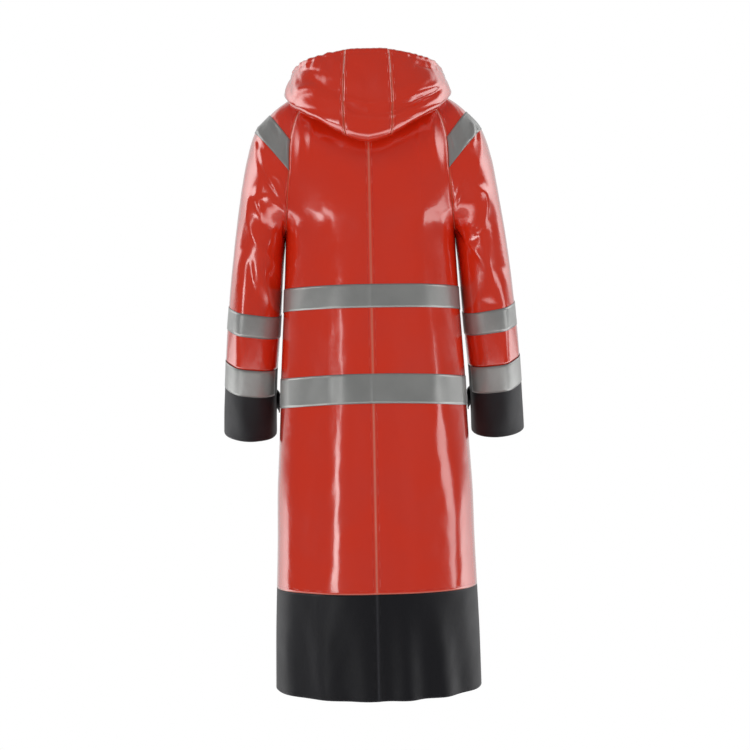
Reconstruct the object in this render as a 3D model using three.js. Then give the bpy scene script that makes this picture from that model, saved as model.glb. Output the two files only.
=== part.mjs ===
// Long hooded raincoat in its worn shape: coated cloth, filled out and hollow.
// Millimetres, +Z up. The front faces -Y and the wearer's left arm is on +X.
// The origin is the middle of the neck opening, where the wearer carries the coat.
import * as THREE from 'three';

// Cloth, tape and gaps
const CLOTH = 1.2;
const TAPE = 0.8;
const DOUBLE_CLOTH = 2.2;
const SEAM_GAP = 0.3;
const LAY_GAP = 0.3;

// Panels
const BACK_COLUMNS = 10;
const FRONT_COLUMNS = 6;
const SLEEVE_COLUMNS = 18;
const SECTION_FULLNESS = 0.8;
const SEAM_EASE = 28;
const SLEEVE_EASE_SHARE = 1 / 8;
const SLEEVE_DEGREE = 1.15;
const FLAP_HALF = 32;
const FLAP_TOP_TRIM = 2;
const FLAP_TAPE_CLEARANCE = 1.0;
const VENT_LAP = 30;

// Sleeve head, how strongly it flows on from the seam across and along the depth
const FLOW_ACROSS = 1.2;
const FLOW_DEPTH = 0.35;

// Neck band and hood
const BAND_HEIGHT = 26;
const BAND_ROWS = 1;
const HOOD_SEAT_HEIGHT = 9;
const HOOD_SEAT_GAP = 3.2;
const HOOD_SEAT_LIFT = 115;
const HOOD_SEAT_DROP = 0.3;
const HOOD_LEAVE = 0.5;
const HOOD_TURN_IN = 0.5;
const HOOD_CLIMB_IN = 0.6;
const HOOD_INNER_ROWS = 5;
const HOOD_OUTER_ROWS = 8;

// Press studs on the storm flap
const STUD_RADIUS = 7.5;
const STUD_TOP_RADIUS = 6;
const STUD_HEIGHT = 2.4;
const STUD_RIM_HEIGHT = 1;
const STUD_SIDES = 10;
const STUD_HEIGHTS = [-85, -205, -325, -500, -695, -815, -935];

// Cuff tab: a strap end that stands off the inner side of the cuff
const TAB_WALL = 2.4;
const TAB_STAND = 5;
const TAB_CELLS = 3;
const TAB_DROP = 6;

// Finishes
const RED = { color: 0xd6382a, roughness: 0.3, metalness: 0 };
const BLACK = { color: 0x35353a, roughness: 0.6, metalness: 0 };
const GREY = { color: 0x9b9c98, roughness: 0.45, metalness: 0.1 };
const METAL = { color: 0x8d8f92, roughness: 0.35, metalness: 0.9 };

// Sections over the shoulders, from the neck seam to the underarm. Each crosses the coat from the
// centre of the back (cb) to the back sleeve seam (bs), over the shoulder's top (top), to the front
// sleeve seam (fs) and the centre of the front (cf). turn is how far round the body the seam lies,
// in degrees, reach how full the sleeve's top is, and free how far the sleeve has left the body.
// Rows 3 and 4 are the edges of the shoulder tape.
const SHOULDER = {
  columns: ['cbY', 'cbZ', 'bsX', 'bsY', 'bsZ', 'topX', 'topY', 'topZ',
    'fsX', 'fsY', 'fsZ', 'cfY', 'cfZ', 'turn', 'reach', 'free'],
  rows: [
    [62, 38, 62, 42, 48, 80, 0, 52, 66, -46, 22, -86, -44, 58, 45, 0],
    [80, 8, 108, 54, 27, 142, -3, 37, 104, -68, -6, -99, -68, 52, 95, 0],
    [99, -30, 146, 64, -8, 185, -4, 14, 136, -86, -42, -113, -96, 52, 130, 0],
    [118, -76, 166, 86, -74, 213, -4, -9, 150, -102, -86, -129, -128, 54, 170, 0.05],
    [135, -140, 169, 104, -141, 245, -3, -47, 160, -114, -142, -143, -168, 56, 235, 0.2],
    [143, -184, 172, 104, -180, 265, -1, -110, 168, -110, -190, -149, -205, 60, 290, 0.26],
    [147, -226, 176, 88, -228, 276, 0, -166, 175, -88, -228, -153, -236, 68, 315, 0.38],
    [149, -254, 180, 48, -257, 282, 0, -205, 180, -52, -256, -155, -258, 79, 322, 0.62],
    [150, -275, 183, -3, -272, 287, -1, -238, 183, -3, -272, -157, -275, 90, 320, 1],
  ],
  steps: [2, 2, 2, 2, 2, 1, 2, 1],
};
const SHOULDER_TAPE = { from: 3, to: 4 };

// Sections of the body from the underarm to the hem. Rows 2 to 3 and 5 to 6 carry the waist tapes,
// row 8 is the top of the back vent and row 10 is where the black hem band begins.
const TORSO = {
  columns: ['z', 'sideZ', 'half', 'back', 'front'],
  rows: [
    [-275, -272, 183, 150, -157],
    [-330, -330, 185.5, 153, -160],
    [-386, -388, 188.5, 155, -162],
    [-435, -437, 191, 157, -164],
    [-505, -509, 195.5, 159, -166],
    [-572, -580, 199.5, 161, -168],
    [-634, -643, 201.5, 163, -170],
    [-730, -734, 206, 166, -173],
    [-821, -823, 211, 170, -177],
    [-925, -926, 213, 174, -181],
    [-1028, -1028, 216.5, 178, -185],
    [-1130, -1130, 220, 182, -189],
    [-1247, -1243, 222, 186, -192],
  ],
  steps: [2, 2, 1, 2, 2, 1, 2, 2, 2, 2, 2, 2],
};
const UPPER_WAIST_TAPE = { from: 2, to: 3 };
const LOWER_WAIST_TAPE = { from: 5, to: 6 };
const VENT_TOP = 8;
const HEM_BAND_TOP = 10;
const SIDE_DEPTH = -3;

// Sleeve rings from the underarm to the cuff: the outer and inner edge, the depth of each half and
// the forward lean in degrees. Rows 3 to 4 carry the upper tape, and at row 5 the black cuff piece
// and the lower tape begin, which ends at row 6.
const ARM = {
  columns: ['outX', 'outZ', 'inX', 'inZ', 'midY', 'backDepth', 'frontDepth', 'lean'],
  rows: [
    [287, -238, 183, -272, -2, 80, 80, 0],
    [295, -292, 188, -318, -4, 76, 75, 3],
    [303, -352, 193, -378, -9, 71, 71, 7],
    [311, -419, 198, -441, -19, 66, 67, 10],
    [316, -466, 202, -487, -28, 63, 64, 12],
    [322, -534, 209, -553, -45, 58, 59, 16],
    [327, -590, 213, -608, -63, 54, 55, 20],
    [331, -641, 215.5, -654, -83, 49, 51, 25],
    [335, -693, 217.5, -699, -106, 46, 48, 28],
  ],
  steps: [2, 2, 2, 1, 2, 2, 1, 2],
};
const UPPER_SLEEVE_TAPE = { from: 3, to: 4 };
const LOWER_SLEEVE_TAPE = { from: 5, to: 6 };
const CUFF_TOP = 5;

// Hood, thrown back like a pouch: sections from the centre of the back round to the throat.
// neck is the share of the neckline from back to front, fold the pouch's lower edge, rim its mouth,
// belly how far the outer cloth swells past the fold, and rise how steeply it climbs to the rim.
// Row 1 is the seam between the centre panel and a side panel.
const HOOD = {
  columns: ['neck', 'foldX', 'foldY', 'foldZ', 'rimX', 'rimY', 'rimZ', 'belly', 'rise'],
  rows: [
    [0, 0, 152, -91, 0, 104, 114, 190, 150],
    [0.12, 46, 150, -78, 46, 102, 112, 184, 150],
    [0.24, 96, 134, -46, 99, 88, 104, 165, 140],
    [0.35, 138, 102, -20, 139, 58, 96, 138, 130],
    [0.46, 165, 54, 14, 160, 14, 84, 92, 110],
    [0.56, 162, -4, 35, 152, -30, 68, 60, 70],
    [0.67, 130, -60, 12, 126, -70, 42, 50, 60],
    [0.78, 92, -98, -18, 90, -100, 12, 45, 50],
    [0.89, 52, -118, -44, 50, -116, -18, 40, 40],
    [0.98, 18, -124, -62, 16, -120, -40, 30, 30],
  ],
  steps: [2, 2, 2, 2, 2, 2, 1, 1, 1],
};

// Largest folds of the back, as soft ridges over the panels. x and z in millimetres, + is the
// wearer's left. A fold runs from, by way of via, to its end, and height is out of the cloth.
const BACK_FOLDS = {
  columns: ['fromX', 'fromZ', 'viaX', 'viaZ', 'toX', 'toZ', 'width', 'height'],
  rows: [
    [52, -300, 66, -650, 78, -1200, 34, 6],
    [-100, -170, -118, -560, -188, -1150, 32, 6],
    [0, -480, -14, -900, -30, -1240, 40, -5],
    [128, -500, 136, -860, 150, -1240, 36, -5],
    [126, -40, 112, -90, 104, -150, 18, 4],
    [-134, -40, -140, -100, -150, -170, 18, 4],
  ],
};

// Largest folds of each sleeve. around is in degrees, 0 at the underarm seam, 90 at the back,
// 180 at the outer edge and 270 at the front.
const FOLD_COLUMNS = ['fromA', 'fromZ', 'viaA', 'viaZ', 'toA', 'toZ', 'width', 'height'];
const LEFT_SLEEVE_FOLDS = {
  columns: FOLD_COLUMNS,
  rows: [
    [150, -25, 104, -114, 74, -186, 18, 6],
    [112, -180, 141, -275, 8, -365, 22, 9],
    [92, -320, 73, -377, 30, -440, 16, 5],
    [124, -300, 112, -450, 112, -700, 24, 8],
    [240, -260, 280, -340, 330, -400, 18, -7],
  ],
};
const RIGHT_SLEEVE_FOLDS = {
  columns: FOLD_COLUMNS,
  rows: [
    [140, -50, 100, -124, 70, -175, 18, 6],
    [103, -186, 111, -239, 75, -280, 20, 8],
    [80, -286, 106, -335, 92, -425, 22, 8],
    [122, -350, 112, -480, 112, -700, 24, 8],
    [235, -240, 275, -330, 335, -390, 18, -7],
  ],
};

const STEPS_ALONG_FOLD = 14;

// A cell of cloth whose diagonals differ by less than this is split the same way every time.
const EVEN_DIAGONALS = 1e-6;

// A table's row at a place between its rows, each named column on a smooth curve.
function section(table, at) {
  const last = table.rows.length - 1;
  const before = Math.min(Math.floor(at), last - 1);
  const share = at - before;
  const named = {};
  table.columns.forEach((name, column) => {
    const [a, b, c, d] = [-1, 0, 1, 2].map((step) => {
      const row = Math.max(0, Math.min(last, before + step));
      return table.rows[row][column];
    });
    const bend = 2 * a - 5 * b + 4 * c - d + share * (3 * (b - c) + d - a);
    named[name] = b + 0.5 * share * (c - a + share * bend);
  });
  return named;
}

// The places of a table's stations between two of its rows, with its own steps between rows.
function stations(table, from, to) {
  const places = [];
  for (let row = from; row < to; row += 1) {
    for (let step = 0; step < table.steps[row]; step += 1) {
      places.push(row + step / table.steps[row]);
    }
  }
  places.push(to);
  return places;
}

// How many stations lie before a table's row.
function stationIndex(table, row) {
  return table.steps.slice(0, row).reduce((sum, steps) => sum + steps, 0);
}

function hermite(start, leave, end, arrive, share) {
  const square = share * share;
  const cube = square * share;
  return start.clone().multiplyScalar(2 * cube - 3 * square + 1)
    .addScaledVector(leave, cube - 2 * square + share)
    .addScaledVector(end, 3 * square - 2 * cube)
    .addScaledVector(arrive, cube - square);
}

function smoothShare(value) {
  const share = Math.max(0, Math.min(1, value));
  return share * share * (3 - 2 * share);
}

// The height of a set of folds at a place on the cloth. Each fold is a curve through three points,
// rounded across its width and fading towards both ends.
function foldHeight(folds, across, along, acrossName, alongName) {
  let height = 0;
  folds.rows.forEach((row, index) => {
    const fold = section(folds, index);
    let nearest = Infinity;
    let fade = 0;
    for (let step = 0; step <= STEPS_ALONG_FOLD; step += 1) {
      const t = step / STEPS_ALONG_FOLD;
      const curve = (axis) => (1 - t) ** 2 * fold[`from${axis}`]
        + 2 * t * (1 - t) * fold[`via${axis}`] + t * t * fold[`to${axis}`];
      const distance = Math.hypot(across - curve(acrossName), along - curve(alongName));
      if (distance < nearest) {
        nearest = distance;
        fade = Math.sqrt(Math.sin(Math.PI * t));
      }
    }
    height += fold.height * fade * Math.exp(-((nearest / fold.width) ** 2));
  });
  return height;
}

// Points from the centre line to a seam across half of the body, as one rounded section.
function halfSection(centreY, centreZ, seam, turn, angles) {
  const end = THREE.MathUtils.degToRad(turn);
  const endShare = Math.max(0, Math.cos(end)) ** SECTION_FULLNESS;
  const half = seam.x / Math.sin(end);
  const sideY = (seam.y - centreY * endShare) / (1 - endShare);
  return angles(end, half).map((angle) => {
    const x = half * Math.sin(angle);
    const depth = Math.max(0, Math.cos(angle)) ** SECTION_FULLNESS;
    const z = centreZ + (seam.z - centreZ) * (x / seam.x) ** 2;
    return new THREE.Vector3(x, sideY + (centreY - sideY) * depth, z);
  });
}

function backAngles(end) {
  return Array.from({ length: BACK_COLUMNS + 1 }, (unused, j) => (end * j) / BACK_COLUMNS);
}

// The front's angles run from the seam to the centre, with one column on the storm flap's edge.
function frontAngles(end, half) {
  const flap = Math.asin(FLAP_HALF / half);
  const angles = Array.from({ length: FRONT_COLUMNS }, (unused, j) => (
    end + ((flap - end) * j) / (FRONT_COLUMNS - 1)));
  return [...angles, 0];
}

// The rows of one half of the back and of the front, from the neck to the hem.
function bodyRows() {
  const back = [];
  const front = [];
  stations(SHOULDER, 0, SHOULDER.rows.length - 1).forEach((place) => {
    const at = section(SHOULDER, place);
    const backSeam = new THREE.Vector3(at.bsX, at.bsY, at.bsZ);
    const frontSeam = new THREE.Vector3(at.fsX, at.fsY, at.fsZ);
    back.push(halfSection(at.cbY, at.cbZ, backSeam, at.turn, backAngles));
    front.push(halfSection(at.cfY, at.cfZ, frontSeam, at.turn, frontAngles));
  });
  stations(TORSO, 0, TORSO.rows.length - 1).slice(1).forEach((place) => {
    const at = section(TORSO, place);
    const side = new THREE.Vector3(at.half, SIDE_DEPTH, at.sideZ);
    back.push(halfSection(at.back, at.z, side, 90, backAngles));
    front.push(halfSection(at.front, at.z, side, 90, frontAngles));
  });
  return { back, front };
}

// One row of the sleeve: from the back seam or underarm over the outer edge to the front.
function sleeveRow(backEnd, leaveBack, outer, backPull, frontPull, frontEnd, arriveFront) {
  const half = SLEEVE_COLUMNS / 2;
  const row = [];
  for (let column = 0; column < half; column += 1) {
    row.push(hermite(backEnd, leaveBack, outer, backPull, column / half));
  }
  for (let column = 0; column <= half; column += 1) {
    row.push(hermite(outer, frontPull, frontEnd, arriveFront, column / half));
  }
  return row;
}

// How the sleeve leaves a seam: it flows on outwards near the neck and turns round the arm below.
function leaveSeam(seam, outer, around, free) {
  const flow = new THREE.Vector3().subVectors(outer, seam);
  flow.multiply(new THREE.Vector3(FLOW_ACROSS, FLOW_DEPTH, FLOW_ACROSS));
  return flow.multiplyScalar(1 - free).addScaledVector(around, free);
}

function sleeveRows() {
  const rows = stations(SHOULDER, 0, SHOULDER.rows.length - 1).map((place) => {
    const at = section(SHOULDER, place);
    const backSeam = new THREE.Vector3(at.bsX, at.bsY, at.bsZ);
    const frontSeam = new THREE.Vector3(at.fsX, at.fsY, at.fsZ);
    const outer = new THREE.Vector3(at.topX, at.topY, at.topZ);
    const around = new THREE.Vector3(0, at.reach, 0);
    const forward = around.clone().negate();
    const leave = leaveSeam(backSeam, outer, around, at.free);
    const arrive = leaveSeam(frontSeam, outer, forward, at.free).negate();
    return sleeveRow(backSeam, leave, outer, forward, forward, frontSeam, arrive);
  });
  stations(ARM, 0, ARM.rows.length - 1).slice(1).forEach((place) => {
    const at = section(ARM, place);
    const lean = THREE.MathUtils.degToRad(at.lean);
    const backwards = new THREE.Vector3(0, Math.cos(lean), -Math.sin(lean));
    const inner = new THREE.Vector3(at.inX, at.midY, at.inZ);
    const outer = new THREE.Vector3(at.outX, at.midY, at.outZ);
    const behind = backwards.clone().multiplyScalar(4 * at.backDepth);
    const before = backwards.clone().multiplyScalar(4 * at.frontDepth);
    rows.push(sleeveRow(inner, behind, outer, behind.clone().negate(),
      before.clone().negate(), inner, before));
  });
  return rows;
}

// Outward directions at a grid's points, from its neighbours. facing is 1 where the rows run down
// and the columns away from the centre of the back, and -1 where the rows run up.
function outward(points, facing) {
  return points.map((row, i) => row.map((point, j) => {
    const up = points[Math.max(0, i - 1)][j];
    const down = points[Math.min(points.length - 1, i + 1)][j];
    const before = row[Math.max(0, j - 1)];
    const after = row[Math.min(row.length - 1, j + 1)];
    const along = new THREE.Vector3().subVectors(down, up);
    const across = new THREE.Vector3().subVectors(after, before);
    return across.cross(along).multiplyScalar(facing).normalize();
  }));
}

// Gives two grids one shared direction at a point where they meet.
function share(first, second) {
  const mean = new THREE.Vector3().addVectors(first, second).normalize();
  first.copy(mean);
  second.copy(mean);
}

function makeGrid(points, facing) {
  return { points, normals: outward(points, facing) };
}

// The whole half coat: back, front and sleeve as grids whose directions agree along each seam.
function halfCoat() {
  const rows = bodyRows();
  const back = makeGrid(rows.back, 1);
  const front = makeGrid(rows.front, 1);
  const sleeve = makeGrid(sleeveRows(), 1);
  const underarm = stationIndex(SHOULDER, SHOULDER.rows.length - 1);
  back.normals.forEach((row, i) => {
    if (i < underarm) {
      share(row[BACK_COLUMNS], sleeve.normals[i][0]);
      share(front.normals[i][0], sleeve.normals[i][SLEEVE_COLUMNS]);
    } else {
      share(row[BACK_COLUMNS], front.normals[i][0]);
    }
    row[0].setX(0).normalize();
    front.normals[i][FRONT_COLUMNS].setX(0).normalize();
  });
  sleeve.normals.slice(underarm).forEach((row) => share(row[0], row[SLEEVE_COLUMNS]));
  [back.normals[underarm][BACK_COLUMNS], front.normals[underarm][0],
    sleeve.normals[underarm][0], sleeve.normals[underarm][SLEEVE_COLUMNS]]
    .forEach((normal) => normal.set(0, 0, -1));
  return { back, front, sleeve, underarm };
}

// A copy of a grid on the wearer's left (side 1) or right (side -1).
function onSide(grid, side) {
  const place = (vector) => new THREE.Vector3(vector.x * side, vector.y, vector.z);
  return {
    points: grid.points.map((row) => row.map(place)),
    normals: grid.normals.map((row) => row.map(place)),
  };
}

// Moves a grid's points out by a height worked out at each of them.
function raise(grid, height) {
  grid.points.forEach((row, i) => row.forEach((point, j) => {
    point.addScaledVector(grid.normals[i][j], height(point, i, j));
  }));
  return grid;
}

// The rows and columns of a grid between two of each, with copies of its points.
function cut(grid, fromRow, toRow, fromColumn = 0, toColumn = grid.points[0].length - 1) {
  const part = (rows) => rows.slice(fromRow, toRow + 1)
    .map((row) => row.slice(fromColumn, toColumn + 1).map((vector) => vector.clone()));
  return { points: part(grid.points), normals: part(grid.normals) };
}

// Draws a grid's edge in by a gap, square to the cloth's own outward direction.
function drawIn(grid, edge, gap = SEAM_GAP / 2) {
  const lastRow = grid.points.length - 1;
  const lastColumn = grid.points[0].length - 1;
  const along = edge === 'first column' || edge === 'last column';
  const count = along ? lastRow : lastColumn;
  const moves = [];
  for (let k = 0; k <= count; k += 1) {
    const places = {
      'first column': [k, 0, k, 1],
      'last column': [k, lastColumn, k, lastColumn - 1],
      'first row': [0, k, 1, k],
      'last row': [lastRow, k, lastRow - 1, k],
    }[edge];
    const [row, column, nextRow, nextColumn] = places;
    const point = grid.points[row][column];
    const normal = grid.normals[row][column];
    const inwards = new THREE.Vector3().subVectors(grid.points[nextRow][nextColumn], point);
    inwards.addScaledVector(normal, -inwards.dot(normal)).normalize();
    moves.push([point, inwards]);
  }
  moves.forEach(([point, inwards]) => point.addScaledVector(inwards, gap));
  return grid;
}

function drawInAll(grid, edges, gap) {
  edges.forEach((edge) => drawIn(grid, edge, gap));
  return grid;
}

// Joins two grids side by side into one, where the first's last column is the second's first.
function join(first, second) {
  const beside = (a, b) => a.map((row, i) => [...row, ...b[i].slice(1)]);
  return {
    points: beside(first.points, second.points),
    normals: beside(first.normals, second.normals),
  };
}

function reverseColumns(grid) {
  const turned = (rows) => rows.map((row) => [...row].reverse());
  return { points: turned(grid.points), normals: turned(grid.normals) };
}

// A closed wall over a grid: its outer face lies out from the points, its inner face wall deeper.
function wallSolid(grid, out, wall) {
  const rows = grid.points.length;
  const columns = grid.points[0].length;
  const positions = [];
  [out, out - wall].forEach((height) => {
    grid.points.forEach((row, i) => row.forEach((point, j) => {
      const moved = point.clone().addScaledVector(grid.normals[i][j], height);
      positions.push(moved.x, moved.y, moved.z);
    }));
  });
  const index = [];
  const at = (face, i, j) => face * rows * columns + i * columns + j;
  const quad = (a, b, c, d, slant) => {
    index.push(...(slant ? [a, b, c, a, c, d] : [a, b, d, b, c, d]));
  };
  for (let i = 0; i < rows - 1; i += 1) {
    for (let j = 0; j < columns - 1; j += 1) {
      const down = grid.points[i][j].distanceTo(grid.points[i + 1][j + 1]);
      const up = grid.points[i][j + 1].distanceTo(grid.points[i + 1][j]);
      const slant = down <= up + EVEN_DIAGONALS;
      quad(at(0, i, j), at(0, i, j + 1), at(0, i + 1, j + 1), at(0, i + 1, j), slant);
      quad(at(1, i + 1, j), at(1, i + 1, j + 1), at(1, i, j + 1), at(1, i, j), !slant);
    }
  }
  for (let j = 0; j < columns - 1; j += 1) {
    quad(at(0, 0, j + 1), at(0, 0, j), at(1, 0, j), at(1, 0, j + 1), true);
    quad(at(0, rows - 1, j), at(0, rows - 1, j + 1),
      at(1, rows - 1, j + 1), at(1, rows - 1, j), true);
  }
  for (let i = 0; i < rows - 1; i += 1) {
    quad(at(0, i, 0), at(0, i + 1, 0), at(1, i + 1, 0), at(1, i, 0), true);
    quad(at(0, i + 1, columns - 1), at(0, i, columns - 1),
      at(1, i, columns - 1), at(1, i + 1, columns - 1), true);
  }
  return faceOut(positions, index);
}

// Turns a closed body's faces so that they point out of it.
function faceOut(positions, index) {
  let volume = 0;
  for (let k = 0; k < index.length; k += 3) {
    const [a, b, c] = [0, 1, 2].map((corner) => (
      new THREE.Vector3().fromArray(positions, 3 * index[k + corner])));
    volume += a.dot(b.cross(c));
  }
  const faces = volume > 0 ? index : index.map((value, k) => (
    index[k - (k % 3) + [0, 2, 1][k % 3]]));
  const geometry = new THREE.BufferGeometry();
  geometry.setAttribute('position', new THREE.Float32BufferAttribute(positions, 3));
  geometry.setIndex(faces);
  geometry.computeVertexNormals();
  return geometry;
}

const coat = new THREE.Group();

function addPiece(name, geometry, finish) {
  const mesh = new THREE.Mesh(geometry, new THREE.MeshStandardMaterial(finish));
  mesh.name = name;
  coat.add(mesh);
  return mesh;
}

const half = halfCoat();
const torsoStation = (row) => half.underarm + stationIndex(TORSO, row);
const armStation = (row) => half.underarm + stationIndex(ARM, row);
const hemStation = torsoStation(TORSO.rows.length - 1);
const bandStation = torsoStation(HEM_BAND_TOP);
const cuffStation = armStation(CUFF_TOP);
const cuffEnd = armStation(ARM.rows.length - 1);

// The back's folds ease out towards the sleeve and side seams, where the panels must meet.
function raisedBack(side) {
  const grid = onSide(half.back, side);
  return raise(grid, (point, i) => {
    const seamX = Math.abs(grid.points[i][BACK_COLUMNS].x);
    const ease = smoothShare((seamX - Math.abs(point.x)) / SEAM_EASE);
    return ease * foldHeight(BACK_FOLDS, point.x, point.z, 'X', 'Z');
  });
}

// A sleeve's folds in degrees around, counted as millimetres on the arm's mean radius. They ease
// out towards the sleeve's seam.
function raisedSleeve(side, folds) {
  const scaled = {
    columns: folds.columns,
    rows: folds.rows.map((row) => row.map((value, k) => (
      folds.columns[k].endsWith('A') ? value * SLEEVE_DEGREE : value))),
  };
  return raise(onSide(half.sleeve, side), (point, i, j) => {
    const around = j / SLEEVE_COLUMNS;
    const ease = smoothShare(around / SLEEVE_EASE_SHARE)
      * smoothShare((1 - around) / SLEEVE_EASE_SHARE);
    return ease * foldHeight(scaled, 360 * around * SLEEVE_DEGREE, point.z, 'A', 'Z');
  });
}

// Where back, front and sleeve meet under the arm, each draws back to its own quarter.
function clearUnderarm(grid, row, column, x, y) {
  grid.points[row][column].add(new THREE.Vector3(x, y, 0).multiplyScalar(SEAM_GAP));
}

const SIDES = [
  { name: 'left', side: 1, folds: LEFT_SLEEVE_FOLDS },
  { name: 'right', side: -1, folds: RIGHT_SLEEVE_FOLDS },
];

// Body panels with their black hem bands
const backs = {};
const fronts = {};
const sleeves = {};
SIDES.forEach(({ name, side, folds }) => {
  const back = raisedBack(side);
  const front = onSide(half.front, side);
  backs[name] = cut(back, 0, hemStation);
  fronts[name] = cut(front, 0, hemStation);
  const edges = ['first column', 'last column', 'last row'];
  const backPanel = drawInAll(cut(back, 0, bandStation), edges);
  const frontPanel = drawInAll(cut(front, 0, bandStation), edges);
  clearUnderarm(backPanel, half.underarm, BACK_COLUMNS, -side, 1);
  clearUnderarm(frontPanel, half.underarm, 0, -side, -1);
  addPiece(`back_${name}`, wallSolid(backPanel, 0, CLOTH), RED);
  addPiece(`front_${name}`, wallSolid(frontPanel, 0, CLOTH), RED);
  const bandEdges = ['first column', 'last column', 'first row'];
  const backBand = drawInAll(cut(back, bandStation, hemStation), bandEdges);
  const frontBand = drawInAll(cut(front, bandStation, hemStation), bandEdges);
  addPiece(`hem_band_back_${name}`, wallSolid(backBand, 0, CLOTH), BLACK);
  addPiece(`hem_band_front_${name}`, wallSolid(frontBand, 0, CLOTH), BLACK);

  const sleeve = raisedSleeve(side, folds);
  sleeves[name] = cut(sleeve, 0, cuffEnd);
  const sleevePanel = drawInAll(cut(sleeve, 0, cuffStation), edges);
  clearUnderarm(sleevePanel, half.underarm, 0, side, 1);
  clearUnderarm(sleevePanel, half.underarm, SLEEVE_COLUMNS, side, -1);
  addPiece(`sleeve_${name}`, wallSolid(sleevePanel, 0, CLOTH), RED);
  const cuff = drawInAll(cut(sleeve, cuffStation, cuffEnd), bandEdges);
  addPiece(`cuff_${name}`, wallSolid(cuff, 0, CLOTH), BLACK);
});

// Vent underlap: the left back goes on behind the right one, below the top of the vent
const ventStation = torsoStation(VENT_TOP);
const underlapSource = cut(backs.right, ventStation, hemStation, 0, 1);
underlapSource.points.forEach((row) => {
  row[1].sub(row[0]).normalize().multiplyScalar(VENT_LAP).add(row[0]);
});
drawIn(underlapSource, 'first column');
addPiece('vent_underlap', wallSolid(underlapSource, -CLOTH - 2 * LAY_GAP, CLOTH), RED);

// Waist tapes run round the body between the storm flap's edges
const flapColumn = FRONT_COLUMNS - 1;
const upperOut = LAY_GAP + TAPE;
function waistTape(name, rows) {
  const [from, to] = [torsoStation(rows.from), torsoStation(rows.to)];
  const halves = SIDES.map(({ name: sideName }) => join(
    cut(backs[sideName], from, to), cut(fronts[sideName], from, to, 0, flapColumn)));
  const round = join(reverseColumns(halves[1]), halves[0]);
  drawInAll(round, ['first column', 'last column'], FLAP_TAPE_CLEARANCE);
  addPiece(name, wallSolid(round, upperOut, TAPE), GREY);
}
waistTape('waist_tape_upper', UPPER_WAIST_TAPE);
waistTape('waist_tape_lower', LOWER_WAIST_TAPE);

// Sleeve tapes and shoulder tapes
SIDES.forEach(({ name }) => {
  const upper = cut(sleeves[name], armStation(UPPER_SLEEVE_TAPE.from),
    armStation(UPPER_SLEEVE_TAPE.to));
  drawInAll(upper, ['first column', 'last column']);
  addPiece(`sleeve_tape_upper_${name}`, wallSolid(upper, upperOut, TAPE), GREY);
  const lower = cut(sleeves[name], armStation(LOWER_SLEEVE_TAPE.from),
    armStation(LOWER_SLEEVE_TAPE.to), 1, SLEEVE_COLUMNS - 1);
  drawIn(lower, 'first row');
  addPiece(`sleeve_tape_lower_${name}`, wallSolid(lower, upperOut, TAPE), GREY);
  const shoulder = cut(sleeves[name], stationIndex(SHOULDER, SHOULDER_TAPE.from),
    stationIndex(SHOULDER, SHOULDER_TAPE.to));
  drawInAll(shoulder, ['first column', 'last column'], SEAM_GAP);
  addPiece(`shoulder_tape_${name}`, wallSolid(shoulder, upperOut, TAPE), GREY);
});

// Storm flap over the front opening, its tape pieces and its press studs
const flap = join(cut(fronts.right, 0, bandStation, flapColumn, flapColumn + 1),
  reverseColumns(cut(fronts.left, 0, bandStation, flapColumn, flapColumn + 1)));
const flapOut = LAY_GAP + DOUBLE_CLOTH;
const flapPanel = drawIn(cut(flap, 0, bandStation), 'first row', FLAP_TOP_TRIM);
addPiece('storm_flap', wallSolid(flapPanel, flapOut, DOUBLE_CLOTH), RED);
[['upper', UPPER_WAIST_TAPE], ['lower', LOWER_WAIST_TAPE]].forEach(([name, rows]) => {
  const piece = cut(flap, torsoStation(rows.from), torsoStation(rows.to));
  addPiece(`flap_tape_${name}`, wallSolid(piece, flapOut + upperOut, TAPE), GREY);
});

function studGeometry() {
  const profile = [
    [0, 0], [STUD_RADIUS, 0], [STUD_RADIUS, STUD_RIM_HEIGHT],
    [STUD_TOP_RADIUS, STUD_HEIGHT], [0, STUD_HEIGHT],
  ].map(([radius, height]) => new THREE.Vector2(radius, height));
  return new THREE.LatheGeometry(profile, STUD_SIDES);
}

STUD_HEIGHTS.forEach((height, index) => {
  const row = flap.points.findIndex((points) => points[1].z < height) - 1;
  const [above, below] = [flap.points[row], flap.points[row + 1]];
  const down = (above[1].z - height) / (above[1].z - below[1].z);
  const onLine = (column) => above[column].clone().lerp(below[column], down);
  const centre = onLine(1).add(onLine(2)).multiplyScalar(0.5);
  const across = new THREE.Vector3().subVectors(above[2], above[1]);
  const rise = new THREE.Vector3().subVectors(above[1], below[1]);
  const normal = across.cross(rise).normalize();
  const stud = addPiece(`press_stud_${index + 1}`, studGeometry(), METAL);
  stud.position.copy(centre).addScaledVector(normal, flapOut + 2 * LAY_GAP);
  stud.quaternion.setFromUnitVectors(new THREE.Vector3(0, 1, 0), normal);
});

// The neckline of one half, from the centre of the back over the shoulder to the centre front
function neckline(side) {
  const rows = [half.back.points[0], half.sleeve.points[0], half.front.points[0]];
  const points = rows.flatMap((row, k) => (k === 0 ? row : row.slice(1)));
  return points.map((point) => new THREE.Vector3(point.x * side, point.y, point.z));
}

// Neck band: stands on the neckline all round and opens at the centre of the front
function neckBand() {
  const left = neckline(1);
  const line = [...neckline(-1).slice(1).reverse(), ...left];
  const points = Array.from({ length: BAND_ROWS + 1 }, (unused, i) => line.map((point) => (
    point.clone().setZ(point.z + SEAM_GAP + (BAND_HEIGHT * i) / BAND_ROWS))));
  return drawInAll(makeGrid(points, -1), ['first column', 'last column']);
}
addPiece('neck_band', wallSolid(neckBand(), 0, DOUBLE_CLOTH), RED);

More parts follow.
